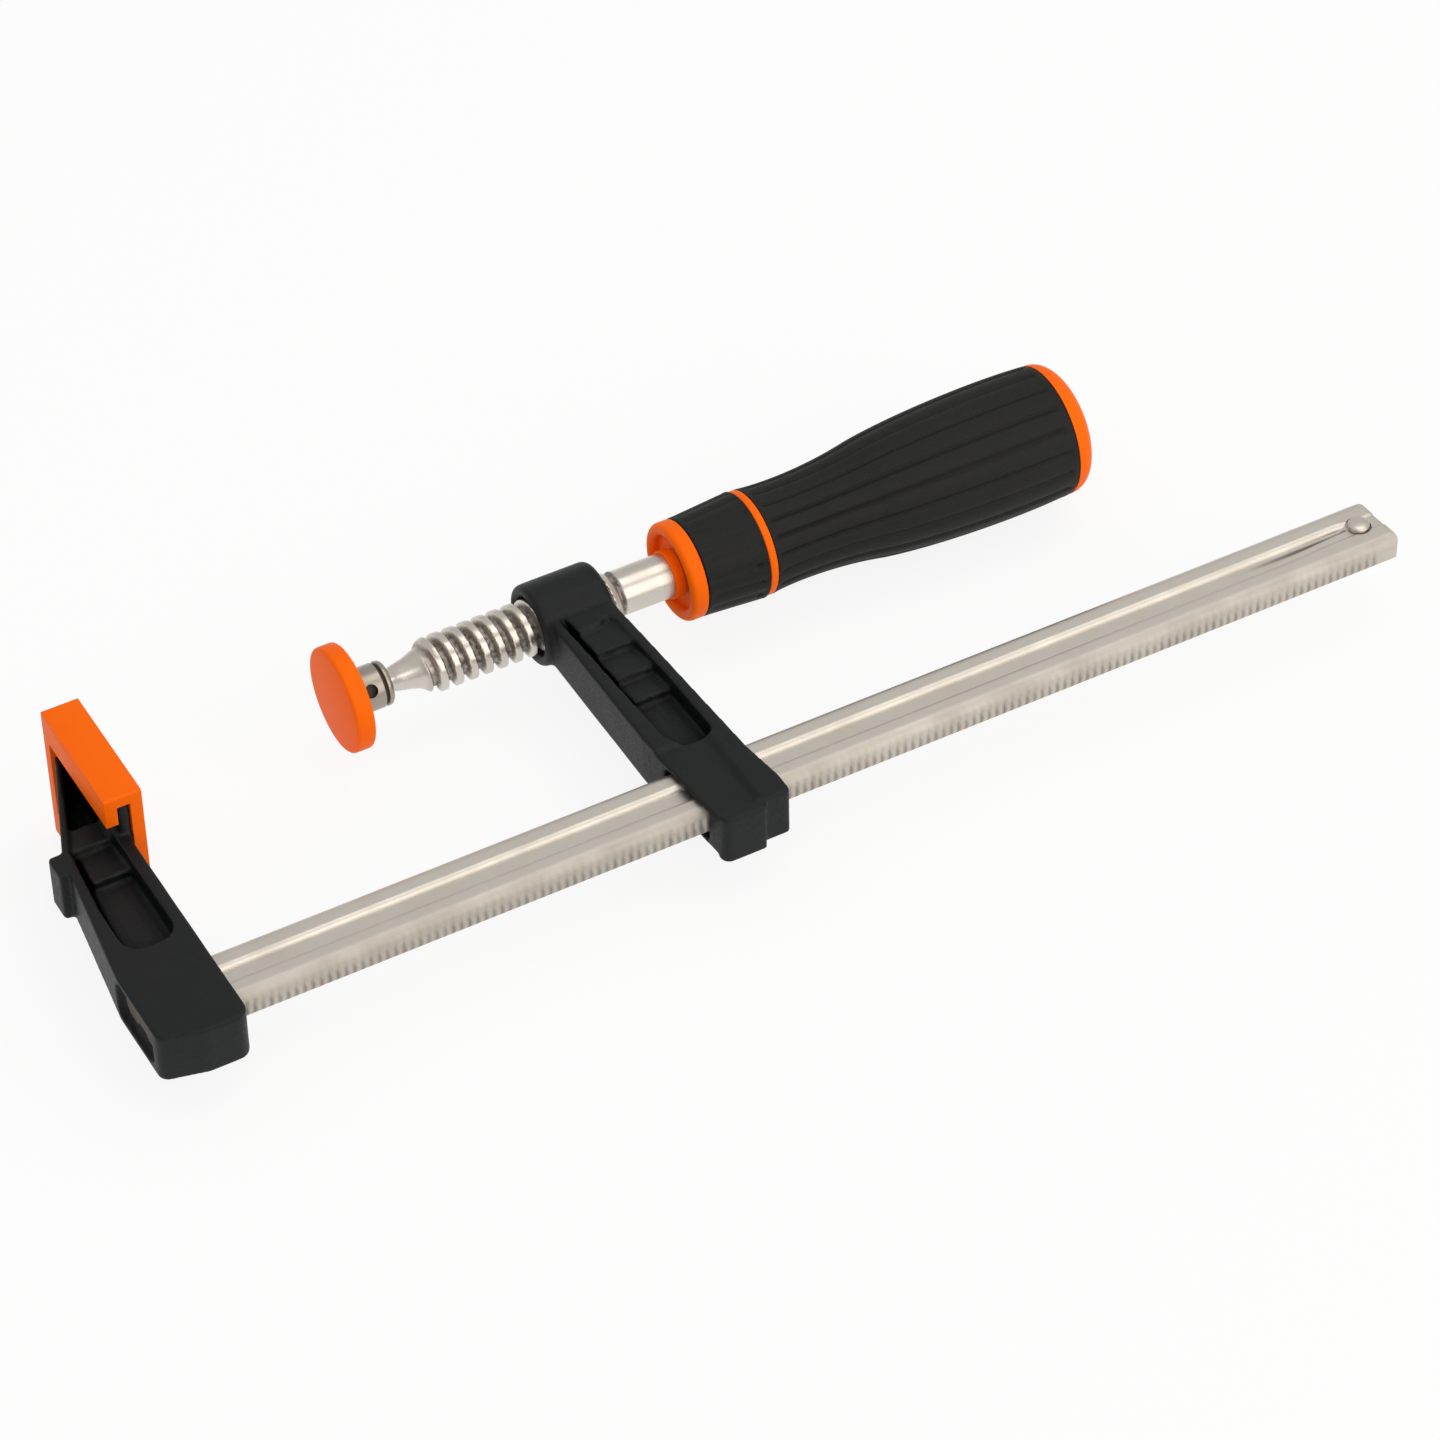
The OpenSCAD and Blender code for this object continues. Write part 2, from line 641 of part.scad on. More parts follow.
// Radius and place of the rear grip's outline at t from 0 at the ring band to 1 at the end cap
mid_point = [mid_r, rear_x0 + mid_share * rear_len];
waist_poles = [[band_r - band_step, rear_x0],
    [waist_r - dip_share * swell, rear_x0 + dip_place_share * rear_len],
    [waist_r, rear_x0 + waist_place_share * rear_len], mid_point];
palm_poles = [mid_point, [waist_r + palm_rise_share * swell, rear_x0 + palm_rise_place_share * rear_len],
    [waist_r + palm_top_share * swell, rear_x0 + palm_top_place_share * rear_len], [tail_r, rear_x1]];
rear_curve = concat([for (k = [0:7]) cubic(waist_poles, k / 8)], [for (k = [0:8]) cubic(palm_poles, k / 8)]);

function inset(curve, d) = [for (p = curve) [p[0] - d, p[1]]];

module tang_bore() {
    gap = press_gap;
    translate([handle_x - over, 0, 0]) rotate([0, 90, 0])
        cylinder(d = shank_d + 2 * gap, h = shank_x1 - handle_x + over);
    intersection() {
        translate([handle_x, 0, 0]) rotate([0, 90, 0])
            cylinder(d = tang_d + 2 * gap, h = tang_x1 - handle_x + gap);
        translate([handle_x, -tang_d, -tang_flat / 2 - gap])
            cube([tang_x1 - handle_x + over, 2 * tang_d, tang_flat + 2 * gap]);
    }
}

module handle_core() color("#ff6a00") {
    hollow_r = tail_r - grip_t - core_wall;
    lip_r = (collar_r - collar_lip) / 2;
    difference() {
        union() {
            translate([handle_x, 0, 0]) rotate([0, 90, 0])
                cylinder(r = nose_flats / 2 / cos(30), h = collar_len, $fn = 6);
            rotate([0, 90, 0]) rotate_extrude() {
                translate([collar_r - lip_r, handle_x + lip_r]) circle(lip_r);
                translate([collar_lip, handle_x + lip_r]) square([2 * lip_r, collar_len - lip_r]);
                translate([0, handle_x + nose_groove]) square([collar_r - lip_r, collar_len - nose_groove]);
            }
            turned(concat([[0, front_x0], [tube_r, front_x0], [tube_r, front_x1], [band_r, front_x1],
                [band_r, rear_x0]], inset(rear_curve, grip_t), [[0, rear_x1]]));
        }
        tang_bore();
        turned([[0, tang_x1 + core_floor], [hollow_r, tang_x1 + core_floor], [hollow_r, rear_x1 + over],
            [0, rear_x1 + over]]);
    }
}

module grip_front() color("#2b2b29") {
    turned([[tube_r, front_x0], [collar_r, front_x0], [front_grip_r, front_x1], [tube_r, front_x1]]);
}

module grip_rear() color("#2b2b29") {
    floor_curve = [for (p = inset(rear_curve, flute_depth))
        if (p[1] > flute_x0 && p[1] < flute_x1) [p[1], p[0]]];
    difference() {
        turned(concat(rear_curve, back_to_front(inset(rear_curve, grip_t))));
        for (i = [0:flute_count - 1]) {
            rotate([i * 360 / flute_count, 0, 0]) translate([0, 0, -flute_w / 2]) linear_extrude(flute_w)
                polygon(concat([[flute_x0, palm_r + over]], floor_curve, [[flute_x1, palm_r + over]]));
        }
    }
}

module end_cap() color("#ff6a00") {
    plug_r = tail_r - grip_t - core_wall - press_gap;
    full = dome_full_share;
    turned(concat([[0, rear_x1 - plug_len], [plug_r, rear_x1 - plug_len], [plug_r, rear_x1]],
        [for (a = [0:9:81]) [tail_r * pow(cos(a), full), rear_x1 + dome_h * pow(sin(a), full)]],
        [[0, rear_x1 + dome_h]]));
}

rail();
stop_pin();
fixed_arm();
fixed_jaw_cap();
sliding_arm();
spindle();
retaining_ring();
swivel_pad();
pad_cap();
handle_core();
grip_front();
grip_rear();
end_cap();
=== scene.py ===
"""Quick release bar clamp: the finished pieces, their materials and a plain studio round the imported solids.

All sizes are in millimetres in the clamp's own frame: X along the rail, Y from the rail to the jaw
tips, Z out of the broad side, with the origin on the spindle axis in the fixed jaw's face.
"""

import logging
import math
from collections.abc import Callable, Iterable, Sequence
from dataclasses import dataclass, field
from enum import Enum

import bmesh
import bpy
from mathutils import Matrix, Vector, noise
from mathutils.bvhtree import BVHTree

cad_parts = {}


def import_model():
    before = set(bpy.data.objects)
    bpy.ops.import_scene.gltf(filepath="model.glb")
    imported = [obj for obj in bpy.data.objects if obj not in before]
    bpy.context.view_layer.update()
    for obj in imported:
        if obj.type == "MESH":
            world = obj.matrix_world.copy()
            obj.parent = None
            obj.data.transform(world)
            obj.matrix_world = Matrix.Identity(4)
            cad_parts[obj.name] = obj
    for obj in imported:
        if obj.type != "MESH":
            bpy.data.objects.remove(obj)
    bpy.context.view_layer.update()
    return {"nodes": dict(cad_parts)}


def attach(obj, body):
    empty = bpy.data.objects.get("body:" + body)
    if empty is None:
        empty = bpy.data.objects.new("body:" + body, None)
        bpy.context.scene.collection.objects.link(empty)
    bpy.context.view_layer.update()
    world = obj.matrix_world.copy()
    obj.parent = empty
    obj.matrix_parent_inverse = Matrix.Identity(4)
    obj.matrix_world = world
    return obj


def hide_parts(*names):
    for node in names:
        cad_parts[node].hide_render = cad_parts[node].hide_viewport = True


LOG = logging.getLogger("clamp")
MM = 0.001
NEAR = 2e-6
WORK_LAYER = "work"
DIRT_AND_SHADE_LAYER = "dirt_and_shade"
DULL_LAYER = "dull"
OCCLUSION_LAYER = "occlusion"

Pattern = Callable[[float, float], float]


class Body(Enum):
    """The moving bodies of the clamp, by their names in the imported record."""

    FRAME = "frame"
    SLIDER = "slider"
    CARRIER = "carrier"
    SCREW = "screw"
    PAD = "pad"


@dataclass(frozen=True)
class Ring:
    """One point of a turned outline.

    Attributes:
        x: Place along the spindle axis.
        r: Distance from the axis.
        soft: Radius that rounds the ring's edge.
        work: Share of a pressed or cut pattern that reaches this ring.
    """

    x: float
    r: float
    soft: float = 0.0
    work: float = 0.0


# Mesh helpers


def smooth_step(low: float, high: float, value: float) -> float:
    """Eases from 0 at low to 1 at high.

    Args:
        low: Value at which the result is 0.
        high: Value at which the result is 1.
        value: The value to place between them.

    Returns:
        The eased share.
    """
    t = min(1.0, max(0.0, (value - low) / (high - low)))
    return t * t * (3.0 - 2.0 * t)


def span(start: float, end: float, count: int) -> list[float]:
    """Returns count + 1 places from start to end, both included."""
    return [start + (end - start) * i / count for i in range(count + 1)]


def cubic(poles: Sequence[tuple[float, float]], t: float) -> tuple[float, float]:
    """Finds a point on a cubic curve.

    Args:
        poles: The curve's four poles.
        t: Share of the way along the curve.

    Returns:
        The point's two coordinates.
    """
    shares = ((1 - t) ** 3, 3 * (1 - t) ** 2 * t, 3 * (1 - t) * t * t, t**3)
    return (
        sum(s * p[0] for s, p in zip(shares, poles)),
        sum(s * p[1] for s, p in zip(shares, poles)),
    )


def soften(mesh: bmesh.types.BMesh, edges: Iterable[bmesh.types.BMEdge], radius: float, segments: int = 3) -> None:
    """Rounds edges of a mesh.

    Args:
        mesh: The mesh to change.
        edges: The edges to round.
        radius: Width of the rounding in millimetres.
        segments: Number of faces across it.
    """
    bmesh.ops.bevel(
        mesh,
        geom=list(edges),
        offset=radius * MM,
        offset_type="OFFSET",
        segments=segments,
        profile=0.5,
        affect="EDGES",
        clamp_overlap=True,
        material=-1,
    )


def ring_edges(mesh: bmesh.types.BMesh, ring: Ring) -> list[bmesh.types.BMEdge]:
    """Finds the edges of a turned mesh that lie on one ring of its outline."""

    def on_ring(vert: bmesh.types.BMVert) -> bool:
        """Tells whether a vertex lies on the ring."""
        radius = math.hypot(vert.co.y, vert.co.z)
        return abs(vert.co.x - ring.x * MM) < NEAR and abs(radius - ring.r * MM) < NEAR

    return [e for e in mesh.edges if on_ring(e.verts[0]) and on_ring(e.verts[1])]


def turn(outline: Sequence[Ring], steps: int = 96, tube: bool = False) -> bmesh.types.BMesh:
    """Turns an outline about the spindle axis into a closed skin.

    Args:
        outline: The rings in order; the first and last lie on the axis unless the outline is a tube's.
        steps: Number of faces round the axis.
        tube: Whether the last ring joins the first.

    Returns:
        The turned mesh, with its soft rings rounded.
    """
    mesh = bmesh.new()
    work = mesh.verts.layers.float.new(WORK_LAYER)
    verts = []
    for ring in outline:
        vert = mesh.verts.new((ring.x * MM, 0.0, ring.r * MM))
        vert[work] = ring.work
        verts.append(vert)
    ends = verts[1:] + verts[:1] if tube else verts[1:]
    edges = [mesh.edges.new(pair) for pair in zip(verts, ends)]
    bmesh.ops.spin(
        mesh,
        geom=verts + edges,
        cent=(0.0, 0.0, 0.0),
        axis=(1.0, 0.0, 0.0),
        dvec=(0.0, 0.0, 0.0),
        angle=2.0 * math.pi,
        steps=steps,
        use_merge=True,
        use_duplicate=False,
    )
    bmesh.ops.remove_doubles(mesh, verts=mesh.verts, dist=NEAR / 4)
    bmesh.ops.dissolve_degenerate(mesh, edges=mesh.edges, dist=NEAR / 8)
    bmesh.ops.recalc_face_normals(mesh, faces=mesh.faces)
    for ring in outline:
        if ring.soft:
            soften(mesh, ring_edges(mesh, ring), ring.soft)
    return mesh


def press(mesh: bmesh.types.BMesh, pattern: Pattern) -> None:
    """Moves the worked rings of a turned mesh in or out by a pattern.

    Args:
        mesh: A mesh made by turn.
        pattern: Depth in millimetres from the place along the axis and the angle round it.
    """
    work = mesh.verts.layers.float[WORK_LAYER]
    for vert in mesh.verts:
        radius = math.hypot(vert.co.y, vert.co.z)
        if vert[work] > 0.0 and radius > NEAR:
            depth = vert[work] * pattern(vert.co.x / MM, math.atan2(vert.co.z, vert.co.y))
            share = (radius + depth * MM) / radius
            vert.co.y *= share
            vert.co.z *= share


def stain(mesh: bmesh.types.BMesh, layer: str, share: Callable[[Vector], float]) -> None:
    """Stores a share at every vertex, which the materials read as dirt or dullness.

    Args:
        mesh: The mesh to mark.
        layer: Name of the layer that holds the shares.
        share: Share from 0 to 1 at a place in millimetres.
    """
    shares = mesh.verts.layers.float.new(layer)
    for vert in mesh.verts:
        vert[shares] = min(1.0, max(0.0, share(vert.co / MM)))


def occlusion(mesh: bmesh.types.BMesh, reach: float, count: int = 30) -> None:
    """Stores at every vertex how much of the open space before it the piece's own walls shut off; the powder coat
    paints shade from it.

    Args:
        mesh: The mesh to mark, with its normals up to date.
        reach: How far a wall still counts, in millimetres.
        count: Number of directions looked in, over the whole sphere.
    """
    golden = math.pi * (3.0 - math.sqrt(5.0))
    looks = []
    for i in range(count):
        z = 1.0 - (2.0 * i + 1.0) / count
        flat = math.sqrt(1.0 - z * z)
        looks.append(Vector((flat * math.cos(golden * i), flat * math.sin(golden * i), z)))
    tree = BVHTree.FromBMesh(mesh)
    shares = mesh.verts.layers.float.new(OCCLUSION_LAYER)
    for vert in mesh.verts:
        start = vert.co + vert.normal * (NEAR * 40.0)
        open_sum = shut_sum = 0.0
        for look in looks:
            facing = look.dot(vert.normal)
            if facing > 0.1:
                open_sum += facing
                if tree.ray_cast(start, look, reach * MM)[0] is not None:
                    shut_sum += facing
        vert[shares] = shut_sum / open_sum


def loft(rings: Sequence[Sequence[Vector]]) -> bmesh.types.BMesh:
    """Joins rings of points to a closed skin with flat ends.

    Args:
        rings: Rings with the same number of points each, in millimetres.

    Returns:
        The skin.
    """
    mesh = bmesh.new()
    loops = [[mesh.verts.new(point * MM) for point in ring] for ring in rings]
    for low, high in zip(loops, loops[1:]):
        for i, vert in enumerate(low):
            j = (i + 1) % len(low)
            mesh.faces.new((vert, low[j], high[j], high[i]))
    mesh.faces.new(loops[0])
    mesh.faces.new(loops[-1])
    bmesh.ops.recalc_face_normals(mesh, faces=mesh.faces)
    return mesh


def add_cone(mesh: bmesh.types.BMesh, radii: tuple[float, float], length: float, place: Matrix, sides: int = 48) -> None:
    """Adds a cone or cylinder about its own Z axis.

    Args:
        mesh: The mesh to add to.
        radii: Radius at its low and its high end in millimetres.
        length: Its length in millimetres.
        place: Turns it and moves its middle to its place.
        sides: Number of faces round it.
    """
    low, high = radii
    bmesh.ops.create_cone(
        mesh, cap_ends=True, segments=sides, radius1=low * MM, radius2=high * MM, depth=length * MM, matrix=place
    )


def copy_of(node: bpy.types.Object) -> bmesh.types.BMesh:
    """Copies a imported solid's mesh and joins its loose triangles."""
    mesh = bmesh.new()
    mesh.from_mesh(node.data)
    bmesh.ops.remove_doubles(mesh, verts=mesh.verts, dist=NEAR / 2)
    return mesh


def evaluated(piece: bpy.types.Object) -> bpy.types.Mesh:
    """Applies a piece's modifiers and returns the mesh that they give."""
    graph = bpy.context.evaluated_depsgraph_get()
    return bpy.data.meshes.new_from_object(piece.evaluated_get(graph))


def as_object(name: str, mesh: bmesh.types.BMesh) -> bpy.types.Object:
    """Puts a mesh in a new object of the scene and frees it."""
    data = bpy.data.meshes.new(name)
    mesh.to_mesh(data)
    mesh.free()
    piece = bpy.data.objects.new(name, data)
    bpy.context.scene.collection.objects.link(piece)
    return piece


def carve(piece: bpy.types.Object, cutter: bmesh.types.BMesh) -> None:
    """Cuts a mesh out of a piece.

    Args:
        piece: The piece to cut.
        cutter: The closed mesh to take away, freed afterwards.
    """
    tool = as_object("cutter", cutter)
    cut = piece.modifiers.new("cut", "BOOLEAN")
    cut.operation = "DIFFERENCE"
    cut.solver = "EXACT"
    cut.object = tool
    data = evaluated(piece)
    piece.modifiers.clear()
    piece.data = data
    bpy.data.objects.remove(tool)


# Materials


def linear(code: str) -> tuple[float, float, float, float]:
    """Turns a hex colour such as #FF6A00 to linear light.

    Args:
        code: The sRGB colour.

    Returns:
        Red, green and blue in linear light, and an alpha of 1.
    """
    parts = [int(code[i : i + 2], 16) / 255.0 for i in (1, 3, 5)]
    red, green, blue = (p / 12.92 if p <= 0.04045 else ((p + 0.055) / 1.055) ** 2.4 for p in parts)
    return red, green, blue, 1.0


def add_node(
    tree: bpy.types.NodeTree,
    kind: str,
    settings: dict[str | int, object],
    links: dict[str | int, bpy.types.NodeSocket] | None = None,
) -> bpy.types.Node:
    """Adds one node with its settings and links.

    Args:
        tree: The node tree to add to.
        kind: The node's type name.
        settings: Values by property name, or by the name or number of an input.
        links: Sockets to link, by the name or number of the input they go to.

    Returns:
        The new node.
    """
    node = tree.nodes.new(kind)
    sockets = {}
    for key, value in settings.items():
        if isinstance(key, str) and hasattr(node, key):
            setattr(node, key, value)
        else:
            sockets[key] = value
    for key, value in sockets.items():
        node.inputs[key].default_value = value
    for key, socket in (links or {}).items():
        tree.links.new(socket, node.inputs[key])
    return node


@dataclass(frozen=True)
class Finish:
    """A material's name, the record's slot that it belongs to, and how it is dressed."""

    name: str
    slot: str

    def material(self) -> bpy.types.Material:
        """Returns the finish as a material, made once."""
        found = bpy.data.materials.get(self.name)
        if found:
            return found
        made = bpy.data.materials.new(self.name)
        made.use_nodes = True
        tree = made.node_tree
        self.dress(tree, tree.nodes["Principled BSDF"])
        return made

    def dress(self, tree: bpy.types.NodeTree, shader: bpy.types.Node) -> None:
        """Sets the shader and adds the nodes of this finish."""
        raise NotImplementedError


@dataclass(frozen=True)
class PowderCoat(Finish):
    """Black powder coat, sprayed and baked on an iron casting.

    The coat follows the sand-cast surface, so the eye sees slow waves a few millimetres long under a
    fine orange peel, and a satin sheen that breaks up on it. In the recesses its colour is painted darker and its sheen
    weaker, as painted shade.
    """

    colour: str = "#0E1012"
    thin_colour: str = "#141617"
    # Colour painted into the recesses as shade.
    painted_shade_colour: str = "#040405"
    roughness: float = 0.5
    sheen: float = 0.29
    peel_mm: float = 0.7
    wave_mm: float = 6.0

    def dress(self, tree: bpy.types.NodeTree, shader: bpy.types.Node) -> None:
        """Adds the coat's peel, waves and faint change of colour, and paints shade into the recesses."""
        place = add_node(tree, "ShaderNodeTexCoord", {}).outputs["Object"]
        waves = add_node(
            tree, "ShaderNodeTexNoise", {"Scale": 1.0 / (self.wave_mm * MM), "Detail": 3.0}, {"Vector": place}
        )
        peel = add_node(
            tree, "ShaderNodeTexNoise", {"Scale": 1.0 / (self.peel_mm * MM), "Detail": 2.0}, {"Vector": place}
        )
        colour = add_node(
            tree,
            "ShaderNodeMix",
            {"data_type": "RGBA", 6: linear(self.colour), 7: linear(self.thin_colour)},
            {0: waves.outputs["Fac"]},
        )
        rough = add_node(
            tree,
            "ShaderNodeMapRange",
            {"From Min": 0.3, "From Max": 0.7, "To Min": self.roughness - 0.05, "To Max": self.roughness + 0.07},
            {"Value": peel.outputs["Fac"]},
        )
        cast = add_node(
            tree, "ShaderNodeBump", {"Strength": 0.35, "Distance": 0.00035}, {"Height": waves.outputs["Fac"]}
        )
        skin = add_node(
            tree,
            "ShaderNodeBump",
            {"Strength": 0.3, "Distance": 0.00008},
            {"Height": peel.outputs["Fac"], "Normal": cast.outputs["Normal"]},
        )
        # Painted shade: the more the arm's own walls shut a place in, the darker its colour and the weaker its sheen.
        occlusion_share = add_node(tree, "ShaderNodeAttribute", {"attribute_name": OCCLUSION_LAYER}).outputs["Fac"]
        dulled = add_node(
            tree,
            "ShaderNodeMapRange",
            {"From Min": 0.1, "From Max": 0.6, "To Min": self.sheen, "To Max": self.sheen * 0.2},
            {"Value": occlusion_share},
        )
        deep = add_node(tree, "ShaderNodeMapRange", {"From Min": 0.1, "From Max": 0.7}, {"Value": occlusion_share})
        shaded = add_node(
            tree,
            "ShaderNodeMix",
            {"data_type": "RGBA", 7: linear(self.painted_shade_colour)},
            {0: deep.outputs["Result"], 6: colour.outputs[2]},
        )
        shader.inputs["IOR"].default_value = 1.45
        tree.links.new(dulled.outputs["Result"], shader.inputs["Specular IOR Level"])
        tree.links.new(shaded.outputs[2], shader.inputs["Base Color"])
        tree.links.new(rough.outputs["Result"], shader.inputs["Roughness"])
        tree.links.new(skin.outputs["Normal"], shader.inputs["Normal"])


class Grain(Enum):
    """The way the tool marks run on a plated steel piece, as stretch of the pattern along X, Y and Z."""

    DRAWN = (0.012, 1.0, 1.0)
    TURNED = (1.0, 0.02, 0.02)


@dataclass(frozen=True)
class NickelPlate(Finish):
    """Bright nickel over steel that was drawn or turned before plating.

    The plate is a warm pale grey and mirrors softly; the steel's tool marks under it draw the
    reflections out across them, and faint clouds dull it here and there.
    """

    grain: Grain = Grain.DRAWN
    colour: str = "#D9D3CA"
    dull_colour: str = "#C9C1B6"
    # Colour that painted shade and dirt darken the plate to.
    dirt_and_shade_colour: str = "#4A4036"
    roughness: float = 0.27
    mark_mm: float = 0.25
    cloud_mm: float = 9.0
    mark_depth: float = 0.00003

    def dress(self, tree: bpy.types.NodeTree, shader: bpy.types.Node) -> None:
        """Adds the plate's clouds and the marks of drawing or turning."""
        place = add_node(tree, "ShaderNodeTexCoord", {}).outputs["Object"]
        stretched = add_node(tree, "ShaderNodeMapping", {"Scale": self.grain.value}, {"Vector": place})
        marks = add_node(
            tree,
            "ShaderNodeTexNoise",
            {"Scale": 1.0 / (self.mark_mm * MM), "Detail": 3.0, "Roughness": 0.6},
            {"Vector": stretched.outputs["Vector"]},
        )
        clouds = add_node(
            tree, "ShaderNodeTexNoise", {"Scale": 1.0 / (self.cloud_mm * MM), "Detail": 4.0}, {"Vector": place}
        )
        colour = add_node(
            tree,
            "ShaderNodeMix",
            {"data_type": "RGBA", 6: linear(self.colour), 7: linear(self.dull_colour)},
            {0: clouds.outputs["Fac"]},
        )
        mixed = add_node(
            tree,
            "ShaderNodeMath",
            {"operation": "MULTIPLY_ADD", 1: 0.6},
            {0: marks.outputs["Fac"], 2: clouds.outputs["Fac"]},
        )
        rough = add_node(
            tree,
            "ShaderNodeMapRange",
            {"From Min": 0.5, "From Max": 1.1, "To Min": self.roughness - 0.05, "To Max": self.roughness + 0.1},
            {"Value": mixed.outputs["Value"]},
        )
        relief = add_node(
            tree, "ShaderNodeBump", {"Strength": 0.5, "Distance": self.mark_depth}, {"Height": marks.outputs["Fac"]}
        )
        # The stored darkening paints shade and some dirt into the plate: darker colour, less metal, more roughness.
        dirt_and_shade = add_node(tree, "ShaderNodeAttribute", {"attribute_name": DIRT_AND_SHADE_LAYER}).outputs["Fac"]
        dull = add_node(tree, "ShaderNodeAttribute", {"attribute_name": DULL_LAYER}).outputs["Fac"]
        soiled = add_node(
            tree,
            "ShaderNodeMix",
            {"data_type": "RGBA", 7: linear(self.dirt_and_shade_colour)},
            {0: dirt_and_shade, 6: colour.outputs[2]},
        )
        bare = add_node(tree, "ShaderNodeMapRange", {"To Min": 1.0, "To Max": 0.4}, {"Value": dirt_and_shade})
        rougher = add_node(
            tree, "ShaderNodeMath", {"operation": "MULTIPLY_ADD", 1: 0.3}, {0: dull, 2: rough.outputs["Result"]}
        )
        roughest = add_node(
            tree, "ShaderNodeMath", {"operation": "MULTIPLY_ADD", 1: 0.3}, {0: dirt_and_shade, 2: rougher.outputs["Value"]}
        )
        tree.links.new(bare.outputs["Result"], shader.inputs["Metallic"])
        tree.links.new(soiled.outputs[2], shader.inputs["Base Color"])
        tree.links.new(roughest.outputs["Value"], shader.inputs["Roughness"])
        tree.links.new(relief.outputs["Normal"], shader.inputs["Normal"])


@dataclass(frozen=True)
class MouldedPlastic(Finish):
    """Tough orange plastic, injection moulded in a fine-blasted tool.

    It is strongly coloured through and has a satin face with a very fine even grain from the tool and
    faint flow clouds.
    """

    colour: str = "#FF6E00"
    cloud_colour: str = "#FF6600"
    roughness: float = 0.46
    gloss: float = 0.09
    grain_mm: float = 0.45
    cloud_mm: float = 12.0

    def dress(self, tree: bpy.types.NodeTree, shader: bpy.types.Node) -> None:
        """Adds the moulding's grain and flow clouds."""
        place = add_node(tree, "ShaderNodeTexCoord", {}).outputs["Object"]
        grain = add_node(
            tree, "ShaderNodeTexNoise", {"Scale": 1.0 / (self.grain_mm * MM), "Detail": 2.0}, {"Vector": place}
        )
        clouds = add_node(
            tree, "ShaderNodeTexNoise", {"Scale": 1.0 / (self.cloud_mm * MM), "Detail": 2.0}, {"Vector": place}
        )
        colour = add_node(
            tree,
            "ShaderNodeMix",
            {"data_type": "RGBA", 6: linear(self.colour), 7: linear(self.cloud_colour)},
            {0: clouds.outputs["Fac"]},
        )
        rough = add_node(
            tree,
            "ShaderNodeMapRange",
            {"From Min": 0.3, "From Max": 0.7, "To Min": self.roughness - 0.04, "To Max": self.roughness + 0.06},
            {"Value": grain.outputs["Fac"]},
        )
        relief = add_node(
            tree, "ShaderNodeBump", {"Strength": 0.25, "Distance": 0.00003}, {"Height": grain.outputs["Fac"]}
        )
        shader.inputs["IOR"].default_value = 1.5
        shader.inputs["Specular IOR Level"].default_value = self.gloss
        tree.links.new(colour.outputs[2], shader.inputs["Base Color"])
        tree.links.new(rough.outputs["Result"], shader.inputs["Roughness"])
        tree.links.new(relief.outputs["Normal"], shader.inputs["Normal"])


@dataclass(frozen=True)
class SoftGrip(Finish):
    """Black thermoplastic elastomer, moulded over the hard core.

    It is a dull, faintly warm black with a fine sparked texture.
    """

    colour: str = "#161615"
    worn_colour: str = "#1C1C1A"
    roughness: float = 0.66
    sheen: float = 0.3
    spark_mm: float = 0.5
    patch_mm: float = 14.0

    def dress(self, tree: bpy.types.NodeTree, shader: bpy.types.Node) -> None:
        """Adds the sparked texture and soft patches of a slightly lighter black."""
        place = add_node(tree, "ShaderNodeTexCoord", {}).outputs["Object"]
        spark = add_node(
            tree, "ShaderNodeTexNoise", {"Scale": 1.0 / (self.spark_mm * MM), "Detail": 3.0}, {"Vector": place}
        )
        patches = add_node(
            tree, "ShaderNodeTexNoise", {"Scale": 1.0 / (self.patch_mm * MM), "Detail": 3.0}, {"Vector": place}
        )
        colour = add_node(
            tree,
            "ShaderNodeMix",
            {"data_type": "RGBA", 6: linear(self.colour), 7: linear(self.worn_colour)},
            {0: patches.outputs["Fac"]},
        )
        rough = add_node(
            tree,
            "ShaderNodeMapRange",
            {"From Min": 0.3, "From Max": 0.7, "To Min": self.roughness - 0.06, "To Max": self.roughness + 0.06},
            {"Value": spark.outputs["Fac"]},
        )
        relief = add_node(
            tree, "ShaderNodeBump", {"Strength": 0.4, "Distance": 0.00006}, {"Height": spark.outputs["Fac"]}
        )
        shader.inputs["IOR"].default_value = 1.45
        shader.inputs["Specular IOR Level"].default_value = self.sheen
        tree.links.new(colour.outputs[2], shader.inputs["Base Color"])
        tree.links.new(rough.outputs["Result"], shader.inputs["Roughness"])
        tree.links.new(relief.outputs["Normal"], shader.inputs["Normal"])


@dataclass(frozen=True)
class BluedSteel(Finish):
    """Spring steel wire, blued by tempering: a dark blue-grey metal with straw-coloured clouds."""

    colour: str = "#4A4F58"
    straw_colour: str = "#6B6250"
    roughness: float = 0.35
    cloud_mm: float = 2.0

    def dress(self, tree: bpy.types.NodeTree, shader: bpy.types.Node) -> None:
        """Adds the clouds that tempering leaves."""
        place = add_node(tree, "ShaderNodeTexCoord", {}).outputs["Object"]
        clouds = add_node(
            tree, "ShaderNodeTexNoise", {"Scale": 1.0 / (self.cloud_mm * MM), "Detail": 4.0}, {"Vector": place}
        )
        colour = add_node(
            tree,
            "ShaderNodeMix",
            {"data_type": "RGBA", 6: linear(self.colour), 7: linear(self.straw_colour)},
            {0: clouds.outputs["Fac"]},
        )
        rough = add_node(
            tree,
            "ShaderNodeMapRange",
            {"To Min": self.roughness - 0.1, "To Max": self.roughness + 0.1},
            {"Value": clouds.outputs["Fac"]},
        )
        shader.inputs["Metallic"].default_value = 1.0
        tree.links.new(colour.outputs[2], shader.inputs["Base Color"])
        tree.links.new(rough.outputs["Result"], shader.inputs["Roughness"])


